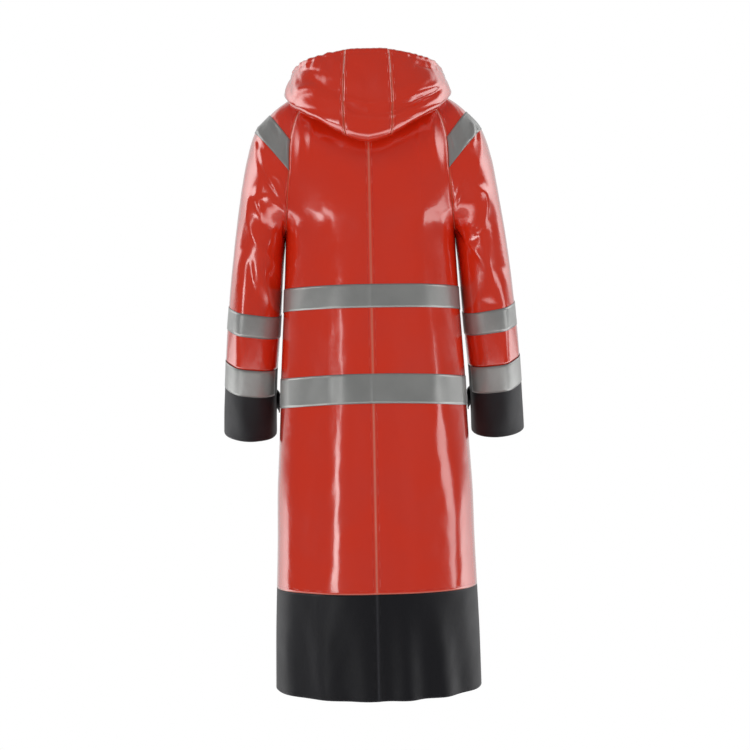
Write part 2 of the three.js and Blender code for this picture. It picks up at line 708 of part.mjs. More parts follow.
// The point at a share of a line's whole length.
function pointAlong(line, part) {
  const ends = [0];
  line.slice(1).forEach((point, k) => ends.push(ends[k] + point.distanceTo(line[k])));
  const length = part * ends.at(-1);
  const next = Math.max(1, ends.findIndex((end) => end >= length));
  const before = ends[next - 1];
  return line[next - 1].clone().lerp(line[next], (length - before) / (ends[next] - before));
}

// Hood: from its seat on the neckline down to the pouch's fold and up to its rim
function hoodGrid() {
  const line = neckline(1);
  const columns = stations(HOOD, 0, HOOD.rows.length - 1).map((place) => {
    const at = section(HOOD, place);
    const seat = pointAlong(line, at.neck);
    const fold = new THREE.Vector3(at.foldX, at.foldY, at.foldZ);
    const rim = new THREE.Vector3(at.rimX, at.rimY, at.rimZ);
    const out = new THREE.Vector3().subVectors(fold, seat).setZ(0).normalize();
    const drop = seat.z - fold.z;
    seat.addScaledVector(out, HOOD_SEAT_GAP).setZ(seat.z + HOOD_SEAT_HEIGHT);
    const leave = out.clone().multiplyScalar(HOOD_LEAVE * seat.distanceTo(fold));
    leave.setZ(HOOD_SEAT_LIFT - HOOD_SEAT_DROP * drop);
    const turn = out.clone().multiplyScalar(at.belly);
    const turnIn = turn.clone().multiplyScalar(HOOD_TURN_IN);
    const climb = out.clone().multiplyScalar(-HOOD_CLIMB_IN * at.belly).setZ(at.rise);
    const column = [];
    for (let i = 0; i < HOOD_INNER_ROWS; i += 1) {
      column.push(hermite(seat, leave, fold, turnIn, i / HOOD_INNER_ROWS));
    }
    for (let i = 0; i <= HOOD_OUTER_ROWS; i += 1) {
      column.push(hermite(fold, turn, rim, climb, i / HOOD_OUTER_ROWS));
    }
    return column;
  });
  const points = columns[0].map((unused, i) => columns.map((column) => column[i]));
  const grid = makeGrid(points, -1);
  grid.normals.forEach((row) => row[0].setX(0).normalize());
  return grid;
}
const hood = hoodGrid();
const hoodRows = hood.points.length - 1;
const seamColumn = stationIndex(HOOD, 1);
SIDES.forEach(({ name, side }) => {
  const panel = cut(onSide(hood, side), 0, hoodRows, seamColumn);
  addPiece(`hood_side_${name}`, wallSolid(drawIn(panel, 'first column'), 0, CLOTH), RED);
});
const centreHalf = cut(hood, 0, hoodRows, 0, seamColumn);
const centrePanel = join(reverseColumns(onSide(centreHalf, -1)), centreHalf);
drawInAll(centrePanel, ['first column', 'last column']);
addPiece('hood_centre', wallSolid(centrePanel, 0, CLOTH), RED);

// Cuff tabs: a short strap over the inner side of each cuff, its end standing off the cloth
SIDES.forEach(({ name }) => {
  const from = armStation(LOWER_SLEEVE_TAPE.to);
  const strap = cut(sleeves[name], from, from + 1, SLEEVE_COLUMNS - TAB_CELLS, SLEEVE_COLUMNS);
  drawIn(strap, 'first row', TAB_DROP);
  raise(strap, (point, i, j) => LAY_GAP + (TAB_STAND * j) / TAB_CELLS);
  addPiece(`cuff_tab_${name}`, wallSolid(strap, TAB_WALL, TAB_WALL), BLACK);
});

export default coat;
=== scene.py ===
"""Long hooded raincoat of coated cloth with reflective tape, seen from the back.

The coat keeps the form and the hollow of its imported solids. This script gives each panel its own
cloth, creases, seams and stitching, and sets a pale floor, soft light and a camera behind the coat.
Blender works in metres. The tables of the coat's form are in millimetres, as a tailor's sheet is.
"""

import logging
import math
from dataclasses import dataclass, field
from enum import Enum
from typing import Sequence

import bmesh
import bpy
import numpy as np
from mathutils import Matrix, Vector


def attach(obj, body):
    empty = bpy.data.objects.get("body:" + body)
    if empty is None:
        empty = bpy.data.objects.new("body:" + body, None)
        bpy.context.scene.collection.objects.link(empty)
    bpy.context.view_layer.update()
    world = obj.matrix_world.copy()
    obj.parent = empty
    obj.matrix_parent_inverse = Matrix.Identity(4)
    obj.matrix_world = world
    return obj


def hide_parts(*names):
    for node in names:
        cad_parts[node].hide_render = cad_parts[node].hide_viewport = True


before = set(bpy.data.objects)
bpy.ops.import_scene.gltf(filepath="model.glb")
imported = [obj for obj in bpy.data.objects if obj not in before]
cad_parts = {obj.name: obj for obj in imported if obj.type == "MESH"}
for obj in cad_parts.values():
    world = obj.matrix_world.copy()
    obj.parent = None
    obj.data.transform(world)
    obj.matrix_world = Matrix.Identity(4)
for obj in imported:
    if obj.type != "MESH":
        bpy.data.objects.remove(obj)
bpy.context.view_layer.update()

LOG = logging.getLogger("raincoat")
MM = 0.001

# Cloth, tape and gaps, in millimetres
CLOTH = 1.2
TAPE = 0.8
DOUBLE_CLOTH = 2.2
SEAM_GAP = 0.3
LAY_GAP = 0.3

# How full a section of the body is, and the depth at which its side seams lie
SECTION_FULLNESS = 0.8
SIDE_DEPTH = -3.0

# How far from a seam the folds ease out, and the height below which the hem waves
SEAM_EASE = 28.0
HEM_WAVES_FROM = -1010.0

# The storm flap's half width, and how far the back's left half laps behind the vent
FLAP_HALF = 32.0
VENT_LAP = 30.0

# How the sleeve flows on from its seam, across and along the depth
FLOW = np.array([1.2, 0.35, 1.2])

# Millimetres of cloth in a degree round a sleeve, on the arm's mean radius
DEGREE = 1.15

# Cell size of the meshes
CELL = 5.0


class Side(Enum):
    """The wearer's side a piece is on. The value is the sign of its x."""

    LEFT = 1
    RIGHT = -1

    @property
    def word(self) -> str:
        """The side as it stands in a node's name."""
        return self.name.lower()


class Profile(Enum):
    """How a fold is rounded across its width."""

    SOFT = 2.0
    CREASE = 1.0

    @property
    def fade(self) -> float:
        """How slowly the fold rises from its ends."""
        return 0.8 if self is Profile.SOFT else 0.5


# Tables of the form


@dataclass(frozen=True)
class Table:
    """Rows of named sizes that follow each other along the coat."""

    columns: tuple[str, ...]
    rows: tuple[tuple[float, ...], ...]

    @property
    def last(self) -> int:
        """The number of the last row."""
        return len(self.rows) - 1

    def at(self, places: np.ndarray) -> dict[str, np.ndarray]:
        """Reads each column at places between the rows, on a smooth curve.

        Args:
            places: Row numbers, whole or in between.

        Returns:
            An array of the places' shape for each column's name.
        """
        data = np.array(self.rows, float)
        before = np.minimum(np.floor(places).astype(int), self.last - 1)
        share = (places - before)[..., None]
        a, b, c, d = (data[np.clip(before + step, 0, self.last)] for step in (-1, 0, 1, 2))
        bend = 2 * a - 5 * b + 4 * c - d + share * (3 * (b - c) + d - a)
        values = b + 0.5 * share * (c - a + share * bend)
        return {name: values[..., k] for k, name in enumerate(self.columns)}


SHOULDER = Table(
    ("cbY", "cbZ", "bsX", "bsY", "bsZ", "topX", "topY", "topZ",
     "fsX", "fsY", "fsZ", "cfY", "cfZ", "turn", "reach", "free"),
    (
        (62, 38, 62, 42, 48, 80, 0, 52, 66, -46, 22, -86, -44, 58, 45, 0),
        (80, 8, 108, 54, 27, 142, -3, 37, 104, -68, -6, -99, -68, 52, 95, 0),
        (99, -30, 146, 64, -8, 185, -4, 14, 136, -86, -42, -113, -96, 52, 130, 0),
        (118, -76, 166, 86, -74, 213, -4, -9, 150, -102, -86, -129, -128, 54, 170, 0.05),
        (135, -140, 169, 104, -141, 245, -3, -47, 160, -114, -142, -143, -168, 56, 235, 0.2),
        (143, -184, 172, 104, -180, 265, -1, -110, 168, -110, -190, -149, -205, 60, 290, 0.26),
        (147, -226, 176, 88, -228, 276, 0, -166, 175, -88, -228, -153, -236, 68, 315, 0.38),
        (149, -254, 180, 48, -257, 282, 0, -205, 180, -52, -256, -155, -258, 79, 322, 0.62),
        (150, -275, 183, -3, -272, 287, -1, -238, 183, -3, -272, -157, -275, 90, 320, 1),
    ),
)
SHOULDER_LENGTHS = (64, 49, 48, 62, 64, 56, 39, 33)
SHOULDER_TAPE = (3, 4)

TORSO = Table(
    ("z", "sideZ", "half", "back", "front"),
    (
        (-275, -272, 183, 150, -157),
        (-330, -330, 185.5, 153, -160),
        (-386, -388, 188.5, 155, -162),
        (-435, -437, 191, 157, -164),
        (-505, -509, 195.5, 159, -166),
        (-572, -580, 199.5, 161, -168),
        (-634, -643, 201.5, 163, -170),
        (-730, -734, 206, 166, -173),
        (-821, -823, 211, 170, -177),
        (-925, -926, 213, 174, -181),
        (-1028, -1028, 216.5, 178, -185),
        (-1130, -1130, 220, 182, -189),
        (-1247, -1243, 222, 186, -192),
    ),
)
TORSO_LENGTHS = (55, 56, 49, 70, 67, 62, 96, 91, 104, 103, 102, 112)
UPPER_WAIST_TAPE = (2, 3)
LOWER_WAIST_TAPE = (5, 6)
VENT_TOP = 8
HEM_BAND_TOP = 10

ARM = Table(
    ("outX", "outZ", "inX", "inZ", "midY", "backDepth", "frontDepth", "lean"),
    (
        (287, -238, 183, -272, -2, 80, 80, 0),
        (295, -292, 188, -318, -4, 76, 75, 3),
        (303, -352, 193, -378, -9, 71, 71, 7),
        (311, -419, 198, -441, -19, 66, 67, 10),
        (316, -466, 202, -487, -28, 63, 64, 12),
        (322, -534, 209, -553, -45, 58, 59, 16),
        (327, -590, 213, -608, -63, 54, 55, 20),
        (331, -641, 215.5, -654, -83, 49, 51, 25),
        (335, -693, 217.5, -699, -106, 46, 48, 28),
    ),
)
ARM_LENGTHS = (54, 60, 67, 47, 68, 56, 51, 52)
UPPER_SLEEVE_TAPE = (3, 4)
LOWER_SLEEVE_TAPE = (5, 6)
CUFF_TOP = 5

HOOD = Table(
    ("neck", "foldX", "foldY", "foldZ", "rimX", "rimY", "rimZ", "belly", "rise"),
    (
        (0, 0, 152, -91, 0, 104, 114, 190, 150),
        (0.12, 46, 150, -78, 46, 102, 112, 184, 150),
        (0.24, 96, 134, -46, 99, 88, 104, 165, 140),
        (0.35, 138, 102, -20, 139, 58, 96, 138, 130),
        (0.46, 165, 54, 14, 160, 14, 84, 92, 110),
        (0.56, 162, -4, 35, 152, -30, 68, 60, 70),
        (0.67, 130, -60, 12, 126, -70, 42, 50, 60),
        (0.78, 92, -98, -18, 90, -100, 12, 45, 50),
        (0.89, 52, -118, -44, 50, -116, -18, 40, 40),
        (0.98, 18, -124, -62, 16, -120, -40, 30, 30),
    ),
)
HOOD_LENGTHS = (57, 50, 50, 60, 60, 64, 56, 46, 38)
HOOD_SEAM = 1


# Tables of the folds


@dataclass(frozen=True)
class Fold:
    """A ridge (height above 0) or trough that runs from one place, by way of another, to its end.

    Places are given across and down the cloth. lean makes one flank steeper: above 0 the flank
    on the far side of the fold's direction is the longer one.
    """

    start: tuple[float, float]
    via: tuple[float, float]
    end: tuple[float, float]
    width: float
    height: float
    lean: float = 0.0
    profile: Profile = Profile.SOFT

    def raise_at(self, across: np.ndarray, along: np.ndarray, steps: int = 26) -> np.ndarray:
        """The height that this fold gives to each point of the cloth.

        Args:
            across: Places across the cloth.
            along: Places down the cloth, of the same shape.
            steps: How many straight pieces the fold's curve is read in.

        Returns:
            Heights of the same shape.
        """
        t = np.linspace(0, 1, steps + 1)[:, None]
        line = ((1 - t) ** 2 * np.array(self.start) + 2 * t * (1 - t) * np.array(self.via)
                + t * t * np.array(self.end))
        points = np.stack([across, along], -1)
        nearest = np.full(across.shape, np.inf)
        place = np.zeros(across.shape)
        flank = np.ones(across.shape)
        for k in range(steps):
            step = line[k + 1] - line[k]
            offset = points - line[k]
            share = np.clip(offset @ step / (step @ step), 0, 1)
            rest = offset - share[..., None] * step
            distance = np.hypot(rest[..., 0], rest[..., 1])
            closer = distance < nearest
            nearest = np.where(closer, distance, nearest)
            place = np.where(closer, (k + share) / steps, place)
            turned = step[0] * rest[..., 1] - step[1] * rest[..., 0]
            flank = np.where(closer, np.sign(turned), flank)
        width = self.width * (1 + self.lean * flank)
        fade = np.maximum(0, np.sin(math.pi * place)) ** self.profile.fade
        return self.height * fade * np.exp(-((nearest / width) ** self.profile.value))


def heights(folds: Sequence[Fold], across: np.ndarray, along: np.ndarray) -> np.ndarray:
    """The height of a set of folds at places across and down the cloth."""
    total = np.zeros(across.shape)
    for fold in folds:
        total += fold.raise_at(across, along)
    return total


def on_arm(*rows: tuple[float, ...]) -> tuple[Fold, ...]:
    """Folds of a sleeve, each from, via and to a place in degrees round the arm and in z."""
    return tuple(
        Fold((a * DEGREE, za), (b * DEGREE, zb), (c * DEGREE, zc), *rest)
        for a, za, b, zb, c, zc, *rest in rows
    )


# Largest folds, as the solids have them
BACK_FOLDS = (
    Fold((52, -300), (66, -650), (78, -1200), 34, 6),
    Fold((-100, -170), (-118, -560), (-188, -1150), 32, 6),
    Fold((0, -480), (-14, -900), (-30, -1240), 40, -5),
    Fold((128, -500), (136, -860), (150, -1240), 36, -5),
    Fold((126, -40), (112, -90), (104, -150), 18, 4),
    Fold((-134, -40), (-140, -100), (-150, -170), 18, 4),
)
SLEEVE_FOLDS = {
    Side.LEFT: on_arm(
        (150, -25, 104, -114, 74, -186, 18, 6, 0, Profile.CREASE),
        (112, -180, 141, -275, 8, -365, 22, 9, 0, Profile.CREASE),
        (92, -320, 73, -377, 30, -440, 16, 5),
        (124, -300, 112, -450, 112, -700, 24, 8),
        (240, -260, 280, -340, 330, -400, 18, -7),
    ),
    Side.RIGHT: on_arm(
        (140, -50, 100, -124, 70, -175, 18, 6, 0, Profile.CREASE),
        (103, -186, 111, -239, 75, -280, 20, 8, 0, Profile.CREASE),
        (80, -286, 106, -335, 92, -425, 22, 8, 0, Profile.CREASE),
        (122, -350, 112, -480, 112, -700, 24, 8),
        (235, -240, 275, -330, 335, -390, 18, -7),
    ),
}

# Smaller creases of the sleeves, which run into the armpits
SLEEVE_CREASES = {
    Side.LEFT: on_arm(
        (124, -67, 86, -160, 4, -223, 5, -3.5),
        (108, -79, 77, -154, 2, -222, 4.5, 3.5, 0, Profile.CREASE),
        (64, -152, 30, -140, 2, -214, 4, 2.5, 0, Profile.CREASE),
        (103, -177, 81, -210, 73, -248, 9, 4),
        (81, -192, 51, -196, 2, -237, 4.5, 3, 0, Profile.CREASE),
        (4, -240, 24, -262, 4, -288, 5, -4),
        (103, -322, 103, -354, 86, -412, 7, -3),
        (172, -32, 111, -57, 86, -94, 5, 3, 0, Profile.CREASE),
        (165, -42, 116, -71, 99, -98, 4, -2.5),
        (14, -68, 9, -99, 4, -131, 4, 2.5),
        (140, -12, 81, -40, 51, -65, 7, -2),
    ),
    Side.RIGHT: on_arm(
        (56, -160, 30, -186, 2, -228, 5, 3, 0, Profile.CREASE),
        (50, -170, 24, -198, 2, -242, 4, -2.5),
        (60, -170, 82, -200, 107, -184, 10, 4),
        (4, -266, 21, -282, 45, -297, 6, -5),
        (30, -288, 77, -304, 94, -367, 8, 3),
        (129, -33, 120, -56, 86, -98, 5, 3.5, 0, Profile.CREASE),
        (141, -36, 129, -60, 103, -79, 5, -3.5),
        (13, -68, 34, -85, 30, -104, 4.5, 3, 0, Profile.CREASE),
        (51, -105, 69, -88, 86, -81, 5, 2.5),
    ),
}

# Folds of the hood's outer cloth, by x and z
HOOD_FOLDS = (
    Fold((40, -18), (-70, -34), (-165, 34), 9, -5.0, 0.3, Profile.CREASE),
    Fold((-44, 4), (-100, 18), (-156, 54), 17, 5.0),
    Fold((126, 66), (96, 26), (44, 6), 16, -6.0),
    Fold((168, 8), (128, 40), (104, 22), 12, 4.0),
    Fold((152, -4), (100, -36), (46, -60), 18, 5.0),
    Fold((-54, -58), (-108, -36), (-154, 2), 18, 5.0),
    Fold((-54, 96), (-70, 60), (-62, 20), 9, -2.5),
    Fold((60, 88), (84, 56), (60, 30), 8, 2.5, 0.3, Profile.CREASE),
    Fold((20, 70), (26, 40), (2, 14), 12, 2.0),
    Fold((-20, 88), (-34, 50), (-10, 20), 10, 2.0),
    Fold((146, 70), (120, 78), (92, 60), 7, -2.5, 0.0, Profile.CREASE),
    Fold((-150, 74), (-124, 70), (-96, 84), 7, -2.5, 0.0, Profile.CREASE),
)

# Small creases of the back: + x is the wearer's left
BACK_CREASES = (
    Fold((84, -420), (92, -620), (96, -860), 6, 1.2, 0.5, Profile.CREASE),
    Fold((-104, -20), (-106, -120), (-110, -300), 6, 1.2, -0.5, Profile.CREASE),
    Fold((168, -360), (182, -520), (178, -700), 9, 1.6, 0.3, Profile.CREASE),
    Fold((-176, -420), (-188, -560), (-192, -760), 9, 1.6, -0.3, Profile.CREASE),
    Fold((150, -20), (140, -70), (146, -160), 7, 1.5, 0.2),
    Fold((118, -10), (122, -60), (116, -120), 6, 1.3, 0.2),
    Fold((-138, -20), (-134, -70), (-140, -140), 6, 1.3, 0.2),
)


def smooth(value: np.ndarray) -> np.ndarray:
    """A share from 0 to 1 that leaves 0 and reaches 1 gently."""
    share = np.clip(value, 0, 1)
    return share * share * (3 - 2 * share)


def ripple(across: np.ndarray, along: np.ndarray, seed: int, waves: tuple[float, float],
           count: int = 7) -> np.ndarray:
    """A gentle unevenness of the cloth, about 1 high, from a few long waves.

    Args:
        across: Places across the cloth.
        along: Places down the cloth.
        seed: Fixes the waves, so that each run gives the same cloth.
        waves: The waves' mean length across and along.
        count: How many waves are added up.

    Returns:
        Heights of the same shape.
    """
    dice = np.random.default_rng(seed)
    total = np.zeros(across.shape)
    for _ in range(count):
        lengths = np.array(waves) * dice.uniform(0.65, 1.7, 2)
        slant = dice.choice([-1, 1])
        phase = dice.uniform(0, 2 * math.pi)
        angle = 2 * math.pi * (slant * across / lengths[0] + along / lengths[1]) + phase
        total += dice.uniform(0.5, 1) * np.sin(angle)
    return total / math.sqrt(count)


# Grids of cloth


def unit(vectors: np.ndarray) -> np.ndarray:
    """Vectors of length 1 in the same directions."""
    return vectors / np.maximum(np.linalg.norm(vectors, axis=-1, keepdims=True), 1e-9)


def hermite(start: np.ndarray, leave: np.ndarray, end: np.ndarray, arrive: np.ndarray,
            shares: np.ndarray) -> np.ndarray:
    """Curves from start to end with given tangents, one for each row of the arrays.

    Args:
        start: First points, one a row.
        leave: Tangents there.
        end: Last points.
        arrive: Tangents there.
        shares: Places along the curves, from 0 to 1.

    Returns:
        An array of rows, places and coordinates.
    """
    s = shares[None, :, None]
    square, cube = s * s, s * s * s
    a, b, c, d = (array[:, None, :] for array in (start, leave, end, arrive))
    return ((2 * cube - 3 * square + 1) * a + (cube - 2 * square + s) * b
            + (3 * square - 2 * cube) * c + (cube - square) * d)


@dataclass
class Grid:
    """Rows and columns of points on the cloth, in millimetres, with their outward directions."""

    points: np.ndarray
    normals: np.ndarray

    @classmethod
    def of(cls, points: np.ndarray, facing: int) -> "Grid":
        """A grid whose directions come from its points' neighbours.

        Args:
            points: Rows, columns and coordinates.
            facing: 1 where the rows run down and the columns away from the centre of the back.

        Returns:
            The grid.
        """
        along = np.gradient(points, axis=0)
        across = np.gradient(points, axis=1)
        return cls(points, unit(facing * np.cross(across, along)))

    def on(self, side: Side) -> "Grid":
        """A copy on one of the wearer's sides."""
        sign = np.array([side.value, 1, 1])
        return Grid(self.points * sign, self.normals * sign)

    def cut(self, rows: tuple[int, int], columns: tuple[int, int] | None = None) -> "Grid":
        """The part between two rows and, where given, two columns, both included."""
        first, last = columns or (0, self.points.shape[1] - 1)
        part = (slice(rows[0], rows[1] + 1), slice(first, last + 1))
        return Grid(self.points[part].copy(), self.normals[part].copy())

    def raised(self, height: np.ndarray | float) -> "Grid":
        """A copy moved out of the cloth by a height at each point."""
        lift = np.broadcast_to(np.asarray(height, float), self.points.shape[:2])
        return Grid(self.points + lift[..., None] * self.normals, self.normals)

    def turned(self) -> "Grid":
        """A copy with its columns in the opposite order."""
        return Grid(self.points[:, ::-1], self.normals[:, ::-1])

    def beside(self, other: "Grid") -> "Grid":
        """This grid and another as one, where its last column is the other's first."""
        return Grid(np.concatenate([self.points, other.points[:, 1:]], 1),
                    np.concatenate([self.normals, other.normals[:, 1:]], 1))

    def drawn_in(self, gap: float, *edges: str) -> "Grid":
        """A copy whose named edges lie inwards by a gap.

        Args:
            gap: How far, in millimetres.
            edges: Any of top, bottom, first and last, the last two for columns.

        Returns:
            The grid.
        """
        points = self.points.copy()
        views = {"top": (0, 1, 0), "bottom": (-1, -2, 0), "first": (0, 1, 1), "last": (-1, -2, 1)}
        for edge in edges:
            here, next_one, axis = views[edge]
            line = np.take(points, here, axis)
            inwards = np.take(points, next_one, axis) - line
            facing = np.take(self.normals, here, axis)
            inwards -= facing * np.sum(inwards * facing, -1, keepdims=True)
            moved = line + gap * unit(inwards)
            if axis == 0:
                points[here] = moved
            else:
                points[:, here] = moved
        return Grid(points, self.normals)

    def arcs(self) -> tuple[np.ndarray, np.ndarray]:
        """How far each point lies along its row and down its column, in millimetres."""
        across = np.linalg.norm(np.diff(self.points, axis=1), axis=-1)
        down = np.linalg.norm(np.diff(self.points, axis=0), axis=-1)
        u = np.pad(np.cumsum(across, 1), ((0, 0), (1, 0)))
        v = np.pad(np.cumsum(down, 0), ((1, 0), (0, 0)))
        return u, v

    def edge_distance(self, edges: Sequence[str]) -> np.ndarray:
        """How far each point is from the nearest of the named edges, in millimetres."""
        u, v = self.arcs()
        to = {"first": u, "last": u[:, -1:] - u, "top": v, "bottom": v[-1:] - v}
        if not edges:
            return np.full(u.shape, 1000.0)
        return np.min([to[edge] for edge in edges], 0)


@dataclass(frozen=True)
class Course:
    """Places down a table, close enough for the cloth's cells, with every row among them."""

    lengths: tuple[float, ...]
    cell: float = CELL

    @property
    def counts(self) -> tuple[int, ...]:
        """Cells between each row and the next."""
        return tuple(max(2, round(length / self.cell)) for length in self.lengths)

    def places(self) -> np.ndarray:
        """Row numbers from the first row to the last."""
        parts = [row + np.arange(count) / count for row, count in enumerate(self.counts)]
        return np.concatenate([*parts, [len(self.lengths)]])

    def index(self, row: int) -> int:
        """Where a table's row stands among the places."""
        return sum(self.counts[:row])


def columns_with_edges(count: int, first: bool = True, last: bool = True) -> np.ndarray:
    """Shares from 0 to 1 for a panel's columns, with narrow ones beside the named edges."""
    narrow = np.array([0, 0.12, 0.35])
    shares = np.arange(1, count) / count
    start = narrow / count if first else narrow[:1]
    end = 1 - (narrow[::-1] / count) if last else np.array([1.0])
    return np.concatenate([start, shares, end])


def half_section(centre_y: np.ndarray, centre_z: np.ndarray, seam: np.ndarray,
                 turn: np.ndarray, angles: np.ndarray) -> np.ndarray:
    """Points from the centre line to a seam across half of the body, as rounded sections.

    Args:
        centre_y: Depth of each section's centre.
        centre_z: Height there.
        seam: The seam's points.
        turn: How far round the body the seam lies, in degrees.
        angles: The places round the body, a row for each section.

    Returns:
        Rows, columns and coordinates.
    """
    end = np.radians(turn)
    end_share = np.maximum(0, np.cos(end)) ** SECTION_FULLNESS
    half = (seam[:, 0] / np.sin(end))[:, None]
    side = ((seam[:, 1] - centre_y * end_share) / (1 - end_share))[:, None]
    x = half * np.sin(angles)
    depth = np.maximum(0, np.cos(angles)) ** SECTION_FULLNESS
    y = side + (centre_y[:, None] - side) * depth
    z = centre_z[:, None] + (seam[:, 2] - centre_z)[:, None] * (x / seam[:, :1]) ** 2
    return np.stack([x, y, z], -1)


def evened(points: np.ndarray, row: int, ease: np.ndarray, reach: float = 14.0,
           rounds: int = 90) -> np.ndarray:
    """Points whose rows flow on evenly past a row where two parts of a form meet.

    Args:
        points: Rows, columns and coordinates.
        row: The row where the parts meet.
        ease: How freely each column moves, from 0 to 1.
        reach: How many rows on either side may move.
        rounds: How often the rows are evened out.

    Returns:
        The moved points.
    """
    near = smooth(1 - np.abs(np.arange(len(points)) - row) / reach)[1:-1, None, None]
    free = 0.5 * near * ease[None, :, None]
    moved = points.copy()
    for _ in range(rounds):
        moved[1:-1] += free * ((moved[2:] + moved[:-2]) / 2 - moved[1:-1])
    return moved


def three(named: dict[str, np.ndarray], *names: str) -> np.ndarray:
    """Points whose coordinates are three of a table's columns."""
    return np.stack([named[name] for name in names], -1)


@dataclass
class CoatForm:
    """The left half of the coat's cloth, without folds: back, front and sleeve.

    Their edges share points and directions along every seam, so pieces made from them meet.
    """

    shoulder: Course = Course(SHOULDER_LENGTHS)
    torso: Course = Course(TORSO_LENGTHS)
    arm: Course = Course(ARM_LENGTHS)
    back_cells: int = 44
    front_cells: int = 34
    flap_cells: int = 7
    sleeve_cells: int = 84
    back: Grid = field(init=False)
    front: Grid = field(init=False)
    sleeve: Grid = field(init=False)

    def __post_init__(self) -> None:
        """Works out the three grids and makes their directions agree along the seams."""
        self.back_shares = columns_with_edges(self.back_cells)
        self.sleeve_shares = columns_with_edges(self.sleeve_cells)
        self.flap_column = len(columns_with_edges(self.front_cells, last=False)) - 1
        back, front = self._body_rows()
        sleeve = self._sleeve_rows()
        self.back = Grid.of(self._evened(back, 1000.0, 1.0), 1)
        self.front = Grid.of(self._evened(front, 0.0, 1000.0), 1)
        self.sleeve = Grid.of(self._evened(sleeve, 0.0, 1.0), 1)
        self._share_directions()

    @property
    def underarm(self) -> int:
        """The row of every grid that passes under the arm."""
        return self.shoulder.index(SHOULDER.last)

    def _evened(self, points: np.ndarray, first: float, last: float) -> np.ndarray:
        """A grid that flows on under the arm, and is held at a column share where it is sewn."""
        shares = np.linspace(0, 1, points.shape[1])
        ease = smooth(np.minimum(np.abs(shares - first), np.abs(last - shares)) / 0.12)
        return evened(points, self.underarm, ease)

    def body_row(self, row: int) -> int:
        """Where a row of the torso's table stands in the body's grids."""
        return self.underarm + self.torso.index(row)

    def arm_row(self, row: int) -> int:
        """Where a row of the arm's table stands in the sleeve's grid."""
        return self.underarm + self.arm.index(row)

    def _back_angles(self, end: np.ndarray) -> np.ndarray:
        """Places round the back for each section, from its centre to the seam."""
        return end[:, None] * self.back_shares

    def _front_angles(self, end: np.ndarray, half: np.ndarray) -> np.ndarray:
        """Places round the front, from the seam by way of the storm flap's edge to the centre."""
        flap = np.arcsin(FLAP_HALF / half)[:, None]
        shares = columns_with_edges(self.front_cells, last=False)
        side = end[:, None] + (flap - end[:, None]) * shares
        middle = flap * (1 - np.arange(1, self.flap_cells + 1) / self.flap_cells)
        return np.concatenate([side, middle], 1)

    def _half(self, seam: np.ndarray, turn: np.ndarray) -> np.ndarray:
        """Half the width that each section would have at its widest."""
        return seam[:, 0] / np.sin(np.radians(turn))

    def _body_rows(self) -> tuple[np.ndarray, np.ndarray]:
        """The rows of the back and of the front, from the neck to the hem."""
        at = SHOULDER.at(self.shoulder.places())
        seam_back, seam_front = three(at, "bsX", "bsY", "bsZ"), three(at, "fsX", "fsY", "fsZ")
        turn = at["turn"]
        low = TORSO.at(self.torso.places()[1:])
        side = np.stack([low["half"], np.full(low["half"].shape, SIDE_DEPTH), low["sideZ"]], -1)
        square = np.full(low["half"].shape, 90.0)
        back = np.concatenate([
            half_section(at["cbY"], at["cbZ"], seam_back, turn,
                         self._back_angles(np.radians(turn))),
            half_section(low["back"], low["z"], side, square,
                         self._back_angles(np.radians(square))),
        ])
        front = np.concatenate([
            half_section(at["cfY"], at["cfZ"], seam_front, turn,
                         self._front_angles(np.radians(turn), self._half(seam_front, turn))),
            half_section(low["front"], low["z"], side, square,
                         self._front_angles(np.radians(square), self._half(side, square))),
        ])
        return back, front

    def _sleeve_rows(self) -> np.ndarray:
        """The rows of the sleeve, round from the back seam over the outer edge to the front."""
        at = SHOULDER.at(self.shoulder.places())
        back, front = three(at, "bsX", "bsY", "bsZ"), three(at, "fsX", "fsY", "fsZ")
        outer = three(at, "topX", "topY", "topZ")
        free = at["free"][:, None]
        around = np.zeros(outer.shape)
        around[:, 1] = at["reach"]
        leave = (outer - back) * FLOW * (1 - free) + around * free
        arrive = -((outer - front) * FLOW * (1 - free) - around * free)
        head = self._round(back, leave, outer, -around, -around, front, arrive)
        low = ARM.at(self.arm.places()[1:])
        lean = np.radians(low["lean"])
        behind = np.stack([np.zeros(lean.shape), np.cos(lean), -np.sin(lean)], -1)
        inner, edge = three(low, "inX", "midY", "inZ"), three(low, "outX", "midY", "outZ")
        deep = 4 * low["backDepth"][:, None] * behind
        shallow = 4 * low["frontDepth"][:, None] * behind
        tube = self._round(inner, deep, edge, -deep, -shallow, inner, shallow)
        return np.concatenate([head, tube])

    def _round(self, start: np.ndarray, leave: np.ndarray, outer: np.ndarray,
               back_pull: np.ndarray, front_pull: np.ndarray, end: np.ndarray,
               arrive: np.ndarray) -> np.ndarray:
        """Two curves for each row, behind the arm and before it, at the sleeve's columns."""
        shares = self.sleeve_shares
        first = 2 * shares[shares < 0.5]
        second = 2 * shares[shares >= 0.5] - 1
        return np.concatenate([hermite(start, leave, outer, back_pull, first),
                               hermite(outer, front_pull, end, arrive, second)], 1)

